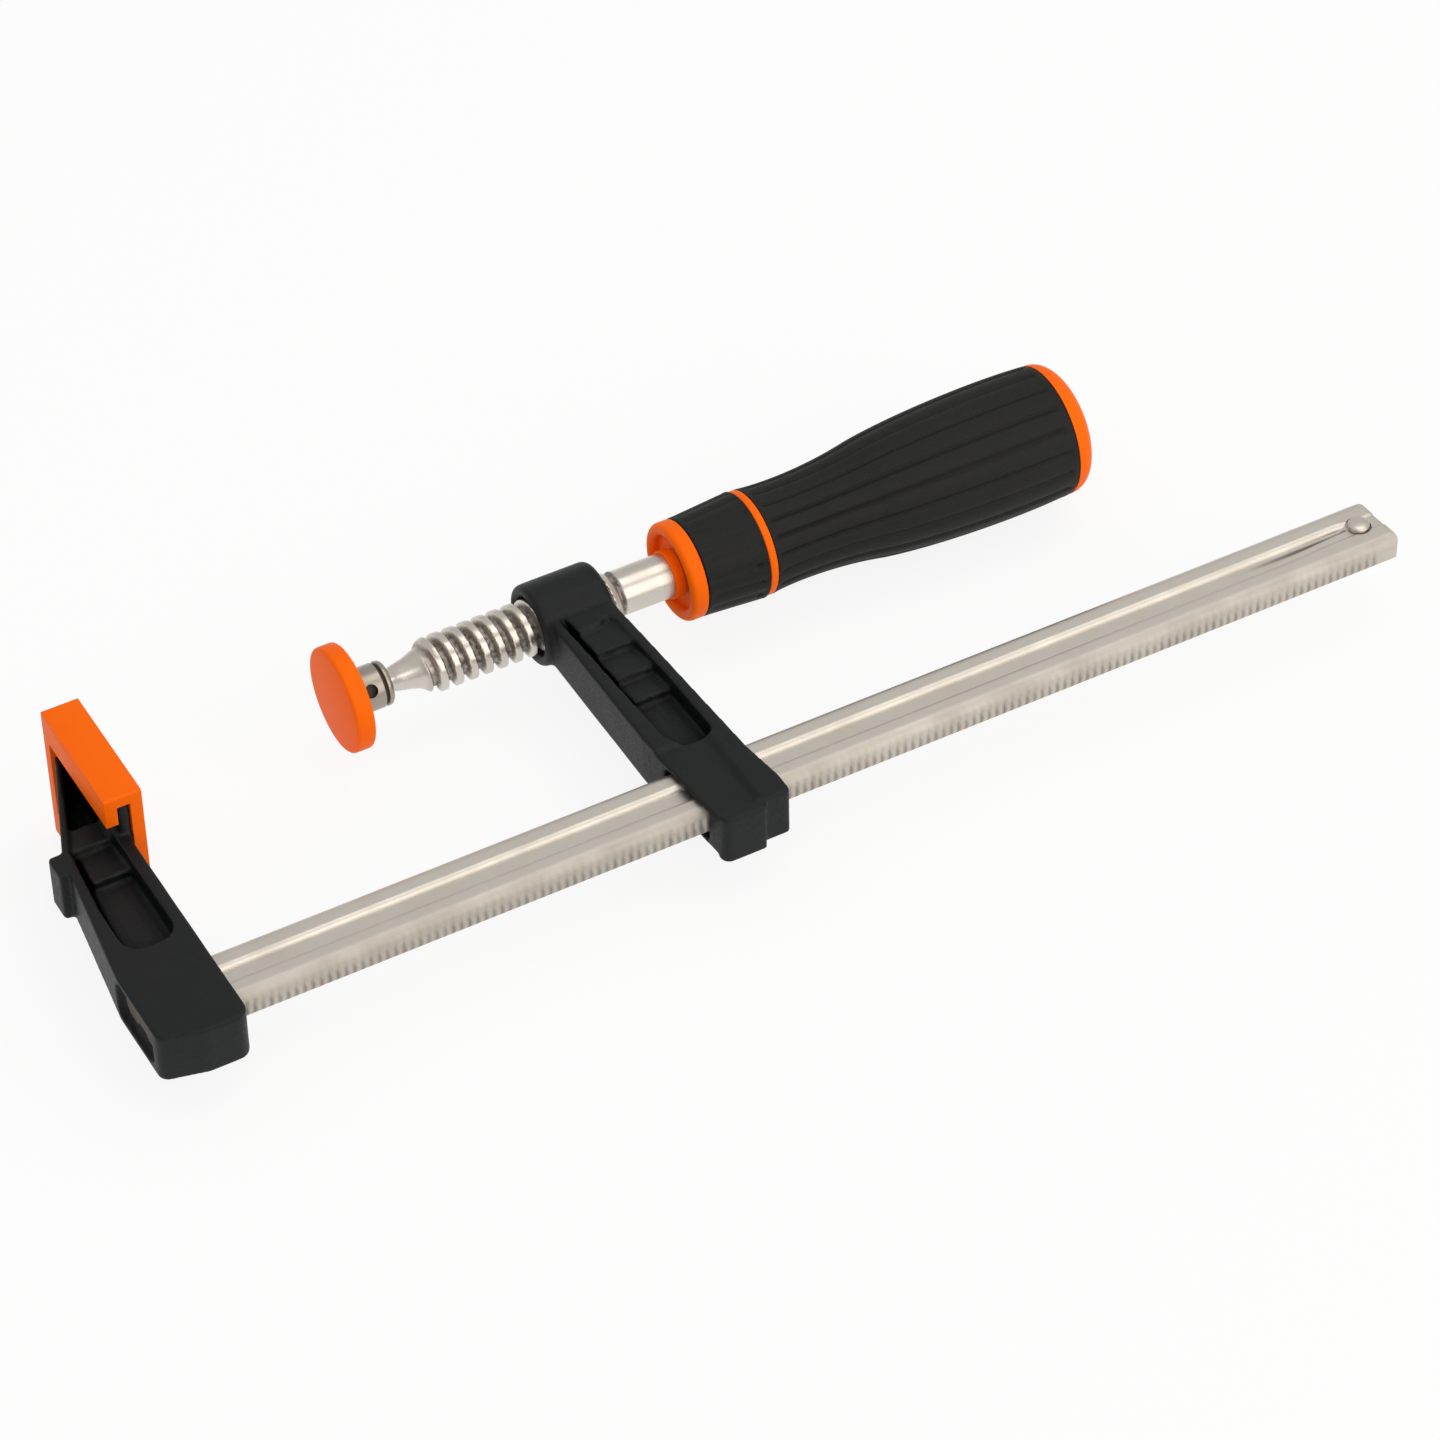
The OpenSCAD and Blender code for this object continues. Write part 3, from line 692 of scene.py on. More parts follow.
COAT = PowderCoat("powder_coated_cast_iron", "powder_coated_iron")
DRAWN_NICKEL = NickelPlate("nickel_plate_on_drawn_steel", "nickel_plated_rail", Grain.DRAWN, roughness=0.4)
TURNED_NICKEL = NickelPlate("nickel_plate_on_turned_steel", "plated_steel", Grain.TURNED)
PRESSED_NICKEL = NickelPlate(
    "dull_nickel_plate_on_pressed_steel", "plated_steel", Grain.TURNED, "#AFA699", "#978E83", roughness=0.33
)
ORANGE = MouldedPlastic("moulded_orange_plastic", "orange_plastic")
GRIP = SoftGrip("overmoulded_black_elastomer", "black_elastomer")
BLUED = BluedSteel("blued_spring_steel", "spring_steel")


def seat(piece: bpy.types.Object, finish: Finish, body: Body, nodes: Sequence[str], sharp: float = 40.0) -> None:
    """Gives a finished piece its shading, material, body and the nodes that it stands for.

    Args:
        piece: The finished piece.
        finish: The material that it gets.
        body: The body that it moves with.
        nodes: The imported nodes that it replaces.
        sharp: Edges with a larger angle than this stay sharp, in degrees.
    """
    piece.data.materials.clear()
    piece.data.materials.append(finish.material())
    piece.data.shade_smooth()
    piece.data.set_sharp_from_angle(angle=math.radians(sharp))
    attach(piece, body.value)
    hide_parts(*nodes)
    LOG.info("%s: %d faces, rides on %s", piece.name, len(piece.data.polygons), body.value)


# The clamp's sub-assemblies


@dataclass
class Rail:
    """The drawn rail with its two bulbs, web and toothed outer edge, and the stop pin in its end."""

    start: float = -23.05
    end: float = 294.8
    slant: float = 1.4
    middle_y: float = -69.1
    half_w: float = 8.1
    half_t: float = 3.8
    bulb_w: float = 6.25
    bulb_r: float = 2.7
    inner_r: float = 1.5
    web_z: float = 2.2
    flat_z: float = 3.45
    blend: float = 1.4
    fold_y: float = 0.55
    painted_fold_shade: float = 0.8
    tooth_start: float = -3.0
    tooth_count: int = 146
    pitch: float = 2.0
    land: float = 0.3
    depth: float = 0.48
    end_r: float = 1.3
    end_edge: float = 0.35
    pin_x: float = 288.5
    pin_r: float = 2.6
    pin_half: float = 5.0
    pin_crown: float = 0.65
    sink_r: float = 3.1

    def build(self) -> None:
        """Makes the rail and its pin."""
        mesh = loft(self.rings())
        # Paints dirt and shade into the rail's colour.
        stain(mesh, DIRT_AND_SHADE_LAYER, self.dirt_and_shade)
        stain(mesh, DULL_LAYER, self.dull)
        rail = as_object("drawn_rail", mesh)
        carve(rail, self.sinks())
        seat(rail, DRAWN_NICKEL, Body.FRAME, ["rail"], 30.0)
        seat(as_object("crowned_stop_pin", self.pin()), TURNED_NICKEL, Body.FRAME, ["stop_pin"])

    def height(self, x: float, y: float) -> float:
        """Finds half of the rail's thickness.

        Args:
            x: Place along the rail.
            y: Place across it, from its middle line.

        Returns:
            The height over the middle plane in millimetres.
        """
        out = abs(y) - (self.half_w - self.bulb_r)
        if out > 0.0:
            return self.half_t - self.bulb_r + math.sqrt(max(0.0, self.bulb_r**2 - out**2))
        side = max(0.0, self.half_w - self.bulb_w + self.inner_r - abs(y))
        bulb = self.half_t - self.inner_r + math.sqrt(max(0.0, self.inner_r**2 - side**2))
        late = smooth_step(-0.5, 0.9, y)
        rise = smooth_step(262.0 + 21.0 * late, 281.0 + 6.0 * late, x)
        web = self.web_z + (self.flat_z - self.web_z) * rise
        share = min(1.0, max(0.0, 0.5 + 0.5 * (bulb - web) / self.blend))
        return min(self.half_t, web + (bulb - web) * share + self.blend * share * (1.0 - share))

    def cut(self, x: float) -> float:
        """Returns how deep the teeth cut into the outer edge at a place along the rail."""
        if not self.tooth_start < x < self.tooth_start + self.tooth_count * self.pitch:
            return 0.0
        along = (x - self.tooth_start) % self.pitch
        middle, foot = self.pitch / 2.0, self.pitch - self.land
        share = max(0.0, along / middle if along < middle else (foot - along) / (foot - middle))
        return self.depth * share * (0.8 + 0.3 * noise.noise(Vector((x * 0.8, 0.0, 0.0))))

    def dirt_and_shade(self, place: Vector) -> float:
        """Returns the share of darkening at a place on the rail: dirt and painted shade in the tooth roots, painted
        shade along the web's fold near the end and on the rail's start inside the fixed arm.
        """
        # Painted shade: the tooth roots darker towards the bottom, a dark line along the web's fold, and the rail's
        # start inside the fixed arm's window.
        low = smooth_step(0.8, -1.6, place.z) * 0.5 + 0.05
        roots = low * self.cut(place.x) / self.depth * smooth_step(6.6, 7.6, self.middle_y - place.y)
        off = abs(place.y - self.middle_y - self.fold_y)
        along = smooth_step(254.0, 272.0, place.x) * (1.0 - smooth_step(285.0, 286.0, place.x))
        fold = self.painted_fold_shade * along * (1.0 - smooth_step(0.25, 0.75, off))
        return max(roots, fold, 0.9 * smooth_step(-12.0, -15.0, place.x))

    def dull(self, place: Vector) -> float:
        """Returns how far the cutting of the teeth has dulled the outer edge at a place on the rail."""
        return smooth_step(5.2, 6.8, self.middle_y - place.y)

    def across(self) -> list[float]:
        """Returns the places across the rail that its outline goes through."""
        bend = [self.half_w - self.bulb_r * (1.0 - math.cos(a)) for a in span(0.0, math.pi / 2.0, 9)]
        inner = span(bend[-1] - 0.6, 0.0, 24)
        half = bend + inner
        return half + [-y for y in reversed(half[:-1])]

    def ring(self, x: float, turned_in: float = 0.0) -> list[Vector]:
        """Finds the rail's outline at one place.

        Args:
            x: Place along the rail; at its end the outline leans by the slant.
            turned_in: Share of the end's rounding that is reached there, from 0 to 1.

        Returns:
            The points round the rail.
        """
        limit = self.half_w - self.end_r * turned_in
        lean = self.slant / (2.0 * self.half_w) if turned_in or x >= self.end - self.end_r else 0.0
        points = []
        for y in self.across():
            inside = max(-limit, min(limit, max(y, self.cut(x) - self.half_w)))
            height = self.height(x, y) - self.end_edge * turned_in
            points.append(Vector((x - lean * (inside + self.half_w), self.middle_y + inside, height)))
        return points + [Vector((p.x, p.y, -p.z)) for p in reversed(points)]

    def rings(self) -> list[list[Vector]]:
        """Returns the outlines from the rail's start to its rounded end."""
        steps = (0.0, self.pitch / 2.0, self.pitch - self.land)
        places = [self.tooth_start + i * self.pitch + step for i in range(self.tooth_count) for step in steps]
        last = self.tooth_start + self.tooth_count * self.pitch
        plain = [self.ring(x) for x in [self.start] + places + [last]]
        low = self.end - self.end_r
        return plain + [self.ring(low + self.end_r * math.sin(a), 1.0 - math.cos(a)) for a in span(0.0, math.pi / 2.0, 6)]

    def sinks(self) -> bmesh.types.BMesh:
        """Returns the shallow round sinks that the pin's heads stand in."""
        mesh = bmesh.new()
        for side in (-1.0, 1.0):
            place = Matrix.Translation((self.pin_x * MM, self.middle_y * MM, side * (self.flat_z + 0.7) * MM))
            add_cone(mesh, (self.sink_r, self.sink_r), 2.0, place)
        return mesh

    def pin(self) -> bmesh.types.BMesh:
        """Returns the stop pin with a crown on both ends."""
        low = self.pin_half - self.pin_crown
        crown = [(self.pin_r * math.cos(a), low + self.pin_crown * math.sin(a)) for a in span(0.0, math.pi / 2, 6)]
        half = [Ring(x, max(r, 0.0)) for r, x in crown]
        mesh = turn([Ring(-p.x, p.r) for p in reversed(half)] + half, 48)
        upright = Matrix.Translation((self.pin_x * MM, self.middle_y * MM, 0.0)) @ Matrix.Rotation(math.pi / 2, 4, "Y")
        bmesh.ops.transform(mesh, matrix=upright, verts=mesh.verts)
        return mesh


@dataclass
class Casting:
    """A cast and powder-coated arm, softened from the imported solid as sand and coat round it."""

    node: str
    name: str
    body: Body
    voxel: float = 0.34
    passes: int = 8
    wave: float = 0.05
    wave_length: float = 9.0
    shelter_reach: float = 7.0
    inner_share: float = 0.08
    inner_passes: int = 14
    bore: tuple[float, float, float] | None = None

    def build(self, nodes: dict[str, bpy.types.Object]) -> None:
        """Makes the arm.

        Args:
            nodes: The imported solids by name.
        """
        rough = as_object(self.name, copy_of(nodes[self.node]))
        remesh = rough.modifiers.new("sand", "REMESH")
        remesh.mode = "VOXEL"
        remesh.voxel_size = self.voxel * MM
        data = evaluated(rough)
        rough.modifiers.clear()
        mesh = bmesh.new()
        mesh.from_mesh(data)
        bpy.data.meshes.remove(data)
        for _ in range(self.passes):
            bmesh.ops.smooth_vert(mesh, verts=mesh.verts, factor=0.5, use_axis_x=True, use_axis_y=True, use_axis_z=True)
        mesh.normal_update()
        occlusion(mesh, self.shelter_reach, 16)
        shut = mesh.verts.layers.float[OCCLUSION_LAYER]
        inner = [vert for vert in mesh.verts if vert[shut] > self.inner_share]
        for _ in range(self.inner_passes):
            bmesh.ops.smooth_vert(mesh, verts=inner, factor=0.5, use_axis_x=True, use_axis_y=True, use_axis_z=True)
        mesh.verts.layers.float.remove(shut)
        mesh.normal_update()
        for vert in mesh.verts:
            height = noise.noise(vert.co / (self.wave_length * MM)) - 1.0
            vert.co += vert.normal * (height * self.wave * MM)
        mesh.to_mesh(rough.data)
        mesh.free()
        if self.bore:
            carve(rough, self.drill(*self.bore))
        # Measures again how shut in each place of the finished arm is; the coat paints shade from this.
        mesh = bmesh.new()
        mesh.from_mesh(rough.data)
        occlusion(mesh, self.shelter_reach)
        mesh.to_mesh(rough.data)
        mesh.free()
        seat(rough, COAT, self.body, [self.node], 60.0)

    def drill(self, front: float, back: float, radius: float) -> bmesh.types.BMesh:
        """Makes the cutter of the machined bore and of the bevels at both its ends.

        Args:
            front: Where the boss starts.
            back: Where the boss ends.
            radius: The bore's radius.

        Returns:
            The cutter, in three parts that meet.
        """
        bevel = 1.1
        mesh = turn(
            [
                Ring(front - 1.0, 0.0),
                Ring(front - 1.0, radius + bevel + 1.0),
                Ring(front + bevel, radius),
                Ring(back - bevel, radius),
                Ring(back + 1.0, radius + bevel + 1.0),
                Ring(back + 1.0, 0.0),
            ]
        )
        return mesh


@dataclass
class JawCap:
    """The orange cap over the fixed jaw's plate, moulded with soft edges."""

    edge: float = 0.6

    def build(self, nodes: dict[str, bpy.types.Object]) -> None:
        """Makes the cap.

        Args:
            nodes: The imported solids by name.
        """
        mesh = copy_of(nodes["fixed_jaw_cap"])
        flat = math.radians(1.0)
        bmesh.ops.dissolve_limit(mesh, angle_limit=flat, verts=mesh.verts, edges=mesh.edges)
        bmesh.ops.connect_verts_concave(mesh, faces=mesh.faces)
        turned_edges = [e for e in mesh.edges if len(e.link_faces) == 2 and e.calc_face_angle() > math.radians(40)]
        soften(mesh, turned_edges, self.edge)
        seat(as_object("moulded_jaw_cap", mesh), ORANGE, Body.FRAME, ["fixed_jaw_cap"], 35.0)


@dataclass
class Spindle:
    """The screw: ball end, neck, concave cone, rounded thread, shank and the tang in the handle."""

    ball_x: float = 64.31
    ball_r: float = 3.4
    neck_r: float = 2.6
    cone: tuple[tuple[float, float], ...] = (
        (70.9, 2.6),
        (71.5, 2.95),
        (73.2, 3.3),
        (75.2, 3.7),
        (77.2, 4.35),
    )
    thread_start: float = 77.4
    thread_end: float = 129.8
    root_r: float = 4.95
    crest: float = 1.72
    pitch: float = 3.8
    phase: float = 0.434
    crest_share: float = 0.36
    flank_share: float = 0.2
    shank_r: float = 5.45
    shank_end: float = 148.4
    tang_r: float = 4.6
    tang_end: float = 198.4

    def build(self) -> None:
        """Makes the spindle."""
        mesh = turn(self.outline(), 112)
        press(mesh, self.thread)
        # Paints shade and oily dirt into the thread's roots.
        stain(mesh, DIRT_AND_SHADE_LAYER, self.dirt_and_shade)
        seat(as_object("threaded_spindle", mesh), TURNED_NICKEL, Body.SCREW, ["spindle"], 50.0)

    def outline(self) -> list[Ring]:
        """Returns the spindle's rings from the ball to the end of the tang."""
        neck_angle = math.asin(self.neck_r / self.ball_r)
        ball = [
            Ring(self.ball_x + self.ball_r * math.cos(a), self.ball_r * math.sin(a))
            for a in span(math.pi, neck_angle, 14)
        ]
        cone = [Ring(x, r) for x, r in self.cone]
        count = round((self.thread_end - self.thread_start) / 0.18)
        thread = [
            Ring(
                x,
                self.root(x),
                0.0,
                smooth_step(77.0, 81.6, x)
                * (1.0 - 0.62 * smooth_step(125.0, 128.6, x))
                * (1.0 - smooth_step(128.6, self.thread_end, x)),
            )
            for x in span(self.thread_start, self.thread_end, count)
        ]
        shank = [
            Ring(self.thread_end + 0.3, self.shank_r, 0.25),
            Ring(self.shank_end, self.shank_r),
            Ring(self.shank_end, self.tang_r),
            Ring(self.tang_end, self.tang_r, 0.8),
            Ring(self.tang_end, 0.0),
        ]
        return [Ring(ball[0].x, 0.0)] + ball[1:] + cone + thread + shank

    def root(self, x: float) -> float:
        """Returns the radius of the thread's root, which rises from the cone and to the shank."""
        rising = self.cone[-1][1] + 0.3 * (x - self.cone[-1][0])
        return min(rising, self.root_r) + (self.shank_r - self.root_r) * smooth_step(128.4, self.thread_end, x)

    def thread(self, x: float, angle: float) -> float:
        """Returns the thread's height over its root.

        Args:
            x: Place along the spindle.
            angle: Angle round it.

        Returns:
            The height in millimetres.
        """
        turns = (x / self.pitch - angle / (2.0 * math.pi) + self.phase) % 1.0
        away = abs(turns - 0.5)
        low = self.crest_share / 2.0
        return self.crest * (1.0 - smooth_step(low, low + self.flank_share, away))

    def dirt_and_shade(self, place: Vector) -> float:
        """Returns the share of darkening in the thread's root at a place on the spindle: painted shade with oily dirt,
        in patches.
        """
        inside = smooth_step(77.6, 81.0, place.x) * (1.0 - smooth_step(self.thread_end - 0.9, self.thread_end, place.x))
        over = math.hypot(place.y, place.z) - self.root(place.x)
        patchy = 0.75 + 0.5 * noise.noise(place * 1.1)
        return 0.95 * inside * patchy * (1.0 - smooth_step(0.1, self.crest * 0.8, over))


@dataclass
class SwivelPad:
    """The pressure plate with its ball socket, the cap over it and the ring that holds the ball."""

    face_x: float = 56.7
    cap_r: float = 12.8
    cap_t: float = 4.6
    plate_x: float = 58.7
    plate_r: float = 11.4
    plate_t: float = 1.8
    socket_r: float = 5.4
    socket_end: float = 69.9
    mouth_r: float = 3.6
    seat_r: float = 3.46
    ball_x: float = 64.31
    seam_x: float = 68.1
    seam_depth: float = 0.75
    groove: tuple[float, float, float] = (66.66, 69.1, 4.4)
    mark_x: float = 64.31
    mark_r: float = 1.65
    mark_floor: float = 3.8
    mark_count: int = 3
    mark_turn: float = 55.0

    def build(self) -> None:
        """Makes the cap, the plate with its socket, and the ring."""
        lip = self.plate_x + self.plate_t + 0.05
        cap = turn(
            [
                Ring(self.face_x, 0.0),
                Ring(self.face_x, self.cap_r, 0.8),
                Ring(self.face_x + self.cap_t, self.cap_r, 0.7),
                Ring(self.face_x + self.cap_t, self.plate_r - 1.05, 0.3),
                Ring(lip, self.plate_r - 1.05),
                Ring(lip, self.plate_r + 0.05),
                Ring(self.plate_x - 0.05, self.plate_r + 0.05),
                Ring(self.plate_x - 0.05, 0.0),
            ]
        )
        seat(as_object("moulded_pad_cap", cap), ORANGE, Body.PAD, ["pad_cap"], 35.0)
        socket = as_object("staked_ball_socket", turn(self.socket_outline()))
        carve(socket, self.marks())
        mesh = bmesh.new()
        mesh.from_mesh(socket.data)
        # Paints shade into the socket's seam, staking marks and hollow.
        stain(mesh, DIRT_AND_SHADE_LAYER, self.dirt_and_shade)
        mesh.to_mesh(socket.data)
        mesh.free()
        seat(socket, PRESSED_NICKEL, Body.PAD, ["swivel_pad"], 35.0)
        ring = turn([Ring(67.41, 2.66, 0.2), Ring(67.41, 3.76, 0.2), Ring(68.31, 3.76, 0.2), Ring(68.31, 2.66, 0.2)], 64, True)
        seat(as_object("wire_retaining_ring", ring), BLUED, Body.CARRIER, ["retaining_ring"])

    def socket_outline(self) -> list[Ring]:
        """Returns the rings of the plate and socket, out along the wall and back through the mouth."""
        wall = self.seam_x
        groove_start, groove_end, groove_r = self.groove
        start = math.acos((groove_start - self.ball_x) / self.seat_r)
        hollow = [
            Ring(self.ball_x + self.seat_r * math.cos(a), self.seat_r * math.sin(a)) for a in span(start, math.pi, 10)
        ]
        return [
            Ring(self.plate_x, 0.0),
            Ring(self.plate_x, self.plate_r, 0.2),
            Ring(self.plate_x + self.plate_t, self.plate_r, 0.2),
            Ring(self.plate_x + self.plate_t, self.socket_r + 0.7),
            Ring(self.plate_x + self.plate_t + 0.25, self.socket_r + 0.2),
            Ring(self.plate_x + self.plate_t + 0.8, self.socket_r),
            Ring(wall - 0.5, self.socket_r, 0.1),
            Ring(wall - 0.3, self.socket_r - self.seam_depth),
            Ring(wall + 0.2, self.socket_r - self.seam_depth),
            Ring(wall + 0.4, self.socket_r, 0.1),
            Ring(self.socket_end, self.socket_r, 0.95),
            Ring(self.socket_end, self.mouth_r + 0.2, 0.2),
            Ring(groove_end, self.mouth_r),
            Ring(groove_end, groove_r),
            Ring(groove_start, groove_r),
            Ring(groove_start, self.seat_r * math.sin(start) + 0.02),
        ] + hollow[1:-1] + [Ring(self.ball_x - self.seat_r, 0.0)]

    def marks(self) -> bmesh.types.BMesh:
        """Returns the round staking marks to sink into the socket's wall."""
        mesh = bmesh.new()
        for index in range(self.mark_count):
            turned_by = Matrix.Rotation(math.radians(self.mark_turn + index * 360.0 / self.mark_count), 4, "X")
            place = Matrix.Translation((self.mark_x * MM, 0.0, (self.mark_floor + 2.0) * MM))
            add_cone(mesh, (self.mark_r, self.mark_r), 4.0, turned_by @ place, 28)
        return mesh

    def dirt_and_shade(self, place: Vector) -> float:
        """Returns the share of painted shade in the seam, the staking marks, the mouth and the hollow at a place on the
        socket.
        """
        wall = smooth_step(self.plate_x + self.plate_t + 0.3, self.plate_x + self.plate_t + 0.8, place.x)
        return wall * (1.0 - smooth_step(self.socket_r - 0.6, self.socket_r - 0.12, math.hypot(place.y, place.z)))


@dataclass
class Handle:
    """The moulded handle: hard orange core with collar, nose and band, two soft sleeves and the end cap."""

    front: float = 143.4
    collar_len: float = 4.2
    collar_r: float = 12.1
    lip_r: float = 9.2
    nose_flats: float = 15.2
    nose_groove: float = 2.4
    tube_r: float = 9.9
    gap_r: float = 5.95
    gap_depth: float = 1.2
    sleeve_end: float = 163.5
    sleeve_r: float = 13.2
    band_end: float = 165.7
    band_stop: float = 165.5
    band_r: float = 12.95
    cap_x: float = 245.5
    tail_r: float = 16.2
    dome: float = 6.7
    dome_full: float = 0.75
    grip_t: float = 2.2
    waist: tuple[tuple[float, float], ...] = ((13.0, 0.0), (11.98, 0.1), (12.5, 0.25), (14.435, 0.372))
    palm: tuple[tuple[float, float], ...] = ((14.435, 0.372), (16.37, 0.52), (17.4, 0.82), (16.2, 1.0))
    flutes: int = 18
    flute_depth: float = 0.46
    flute_width: float = 1.05
    crown: float = 0.3
    notch_turns: tuple[float, ...] = (162.0, 184.0, 206.0)

    def build(self) -> None:
        """Makes the core, both sleeves and the end cap."""
        mesh = turn(self.core_outline(), 96, False)
        self.add_nose(mesh)
        core = as_object("moulded_handle_core", mesh)
        carve(core, self.shank_gap())
        seat(core, ORANGE, Body.SCREW, ["handle_core"], 35.0)
        front = turn(self.front_outline(), self.flutes * 20, True)
        press(front, self.front_pattern)
        seat(as_object("front_grip_sleeve", front), GRIP, Body.SCREW, ["grip_front"], 40.0)
        rear = turn(self.rear_outline(), self.flutes * 20, True)
        press(rear, self.rear_pattern)
        seat(as_object("rear_grip_sleeve", rear), GRIP, Body.SCREW, ["grip_rear"], 40.0)
        cap = turn(self.cap_outline(), 96)
        seat(as_object("domed_end_cap", cap), ORANGE, Body.SCREW, ["end_cap"], 40.0)

    def radius(self, share: float) -> tuple[float, float]:
        """Returns the rear grip's radius and place at a share of its curve, in millimetres."""
        poles = self.waist if share < 0.5 else self.palm
        radius, along = cubic(poles, share * 2.0 if share < 0.5 else share * 2.0 - 1.0)
        return radius, self.band_end + along * (self.cap_x - self.band_end)

    def core_outline(self) -> list[Ring]:
        """Returns the core's rings: recess, lip, tube, band and the body inside the rear grip."""
        middle = (self.collar_r + self.lip_r) / 2.0
        round_r = (self.collar_r - self.lip_r) / 2.0
        lip = [
            Ring(self.front + round_r - round_r * math.sin(a), middle - round_r * math.cos(a))
            for a in span(0.0, math.pi, 12)
        ]
        floor_x = self.front + self.nose_groove
        start = self.front + self.collar_len
        inside = [self.radius(s) for s in span(0.0, 1.0, 20)]
        return (
            [Ring(floor_x, 0.0), Ring(floor_x, self.lip_r, 0.3)]
            + lip
            + [Ring(start - 0.25, self.collar_r, 0.2), Ring(start, self.collar_r - 0.45)]
            + [Ring(start, self.tube_r), Ring(self.sleeve_end, self.tube_r)]
            + [Ring(self.sleeve_end, self.band_r, 0.3), Ring(self.band_stop, self.band_r, 0.3)]
            + [Ring(self.band_stop, inside[0][0] - self.grip_t)]
            + [Ring(x, r - self.grip_t) for r, x in inside]
            + [Ring(self.cap_x, 0.0)]
        )

    def add_nose(self, core: bmesh.types.BMesh) -> None:
        """Adds the raised hexagon nose round the shank."""
        length = self.nose_groove + 0.6
        nose_r = self.nose_flats / 2.0 / math.cos(math.pi / 6.0)
        place = Matrix.Translation(((self.front + length / 2.0) * MM, 0.0, 0.0)) @ Matrix.Rotation(math.pi / 2, 4, "Y")
        others = set(core.edges)
        add_cone(core, (nose_r, nose_r), length, place, 6)
        soften(core, [e for e in core.edges if e not in others], 0.3)

    def shank_gap(self) -> bmesh.types.BMesh:
        """Returns the cutter of the narrow gap between the nose and the shank."""
        mesh = bmesh.new()
        place = Matrix.Translation((self.front * MM, 0.0, 0.0)) @ Matrix.Rotation(math.pi / 2, 4, "Y")
        add_cone(mesh, (self.gap_r, self.gap_r), 2.0 * self.gap_depth, place)
        return mesh

    def front_outline(self) -> list[Ring]:
        """Returns the front sleeve's rings, as a tube."""
        start = self.front + self.collar_len
        end = self.sleeve_end
        outer = [
            Ring(
                x,
                self.collar_r + (self.sleeve_r - self.collar_r) * (x - start) / (end - start),
                0.0,
                smooth_step(start + 0.6, start + 2.0, x) * (1.0 - smooth_step(end - 0.8, end - 0.5, x)),
            )
            for x in span(start + 0.3, end - 0.2, 50)
        ]
        return (
            [Ring(start, self.tube_r), Ring(start, self.collar_r - 0.35)]
            + outer
            + [Ring(end, self.sleeve_r - 0.3), Ring(end, self.tube_r)]
        )

    def rear_outline(self) -> list[Ring]:
        """Returns the rear sleeve's rings, as a tube."""
        curve = [self.radius(s) for s in span(0.0, 1.0, 110)]
        first, last = curve[0][1], curve[-1][1]
        outer = [
            Ring(x, r, 0.0, smooth_step(first, first + 2.0, x) * (1.0 - smooth_step(last - 2.6, last - 1.8, x)))
            for r, x in curve[1:-1]
        ]
        start = [Ring(self.band_stop, curve[0][0] - 0.3), Ring(self.band_stop + 0.15, curve[0][0] - 0.05)]
        end = Ring(last, curve[-1][0] - 0.25)
        inner = [Ring(x, r - self.grip_t) for r, x in reversed(curve[::6])]
        return start + outer + [end] + inner

    def flute(self, angle: float, radius: float) -> float:
        """Returns how far the surface lies below the plain grip round one flute.

        Args:
            angle: Angle round the handle.
            radius: Radius of the plain grip there.

        Returns:
            The depth in millimetres, which is zero or less.
        """
        step = 2.0 * math.pi / self.flutes
        away = abs((angle / step) % 1.0 - 0.5) * step * radius
        edge = step * radius / 2.0
        groove = 1.0 - smooth_step(0.0, self.flute_width, edge - away)
        return -self.flute_depth * groove - self.crown * (away / edge) ** 2

    def rear_pattern(self, x: float, angle: float) -> float:
        """Returns the rear sleeve's flutes at a place along and round the handle."""
        return self.flute(angle, 15.0)

    def front_pattern(self, x: float, angle: float) -> float:
        """Returns the front sleeve's soft facets and the short notches beside the band."""
        step = 2.0 * math.pi / self.flutes
        away = abs((angle / step) % 1.0 - 0.5) * 2.0
        depth = -self.crown * away**2
        for turned_to in self.notch_turns:
            off = (angle - math.radians(turned_to) + math.pi) % (2.0 * math.pi) - math.pi
            depth -= 0.8 * math.exp(-((off * self.sleeve_r / 0.6) ** 2) - ((x - self.sleeve_end + 2.4) / 0.8) ** 2)
        return depth

    def cap_outline(self) -> list[Ring]:
        """Returns the end cap's rings: plug, rim and dome."""
        plug_r = self.tail_r - self.grip_t - 3.0
        dome = [
            Ring(
                self.cap_x + self.dome * math.sin(a) ** self.dome_full,
                self.tail_r * max(math.cos(a), 0.0) ** self.dome_full,
            )
            for a in span(0.0, math.pi / 2.0, 24)
        ]
        return (
            [Ring(self.cap_x - 8.0, 0.0), Ring(self.cap_x - 8.0, plug_r), Ring(self.cap_x, plug_r)]
            + dome[:-1]
            + [Ring(self.cap_x + self.dome, 0.0)]
        )


# Studio


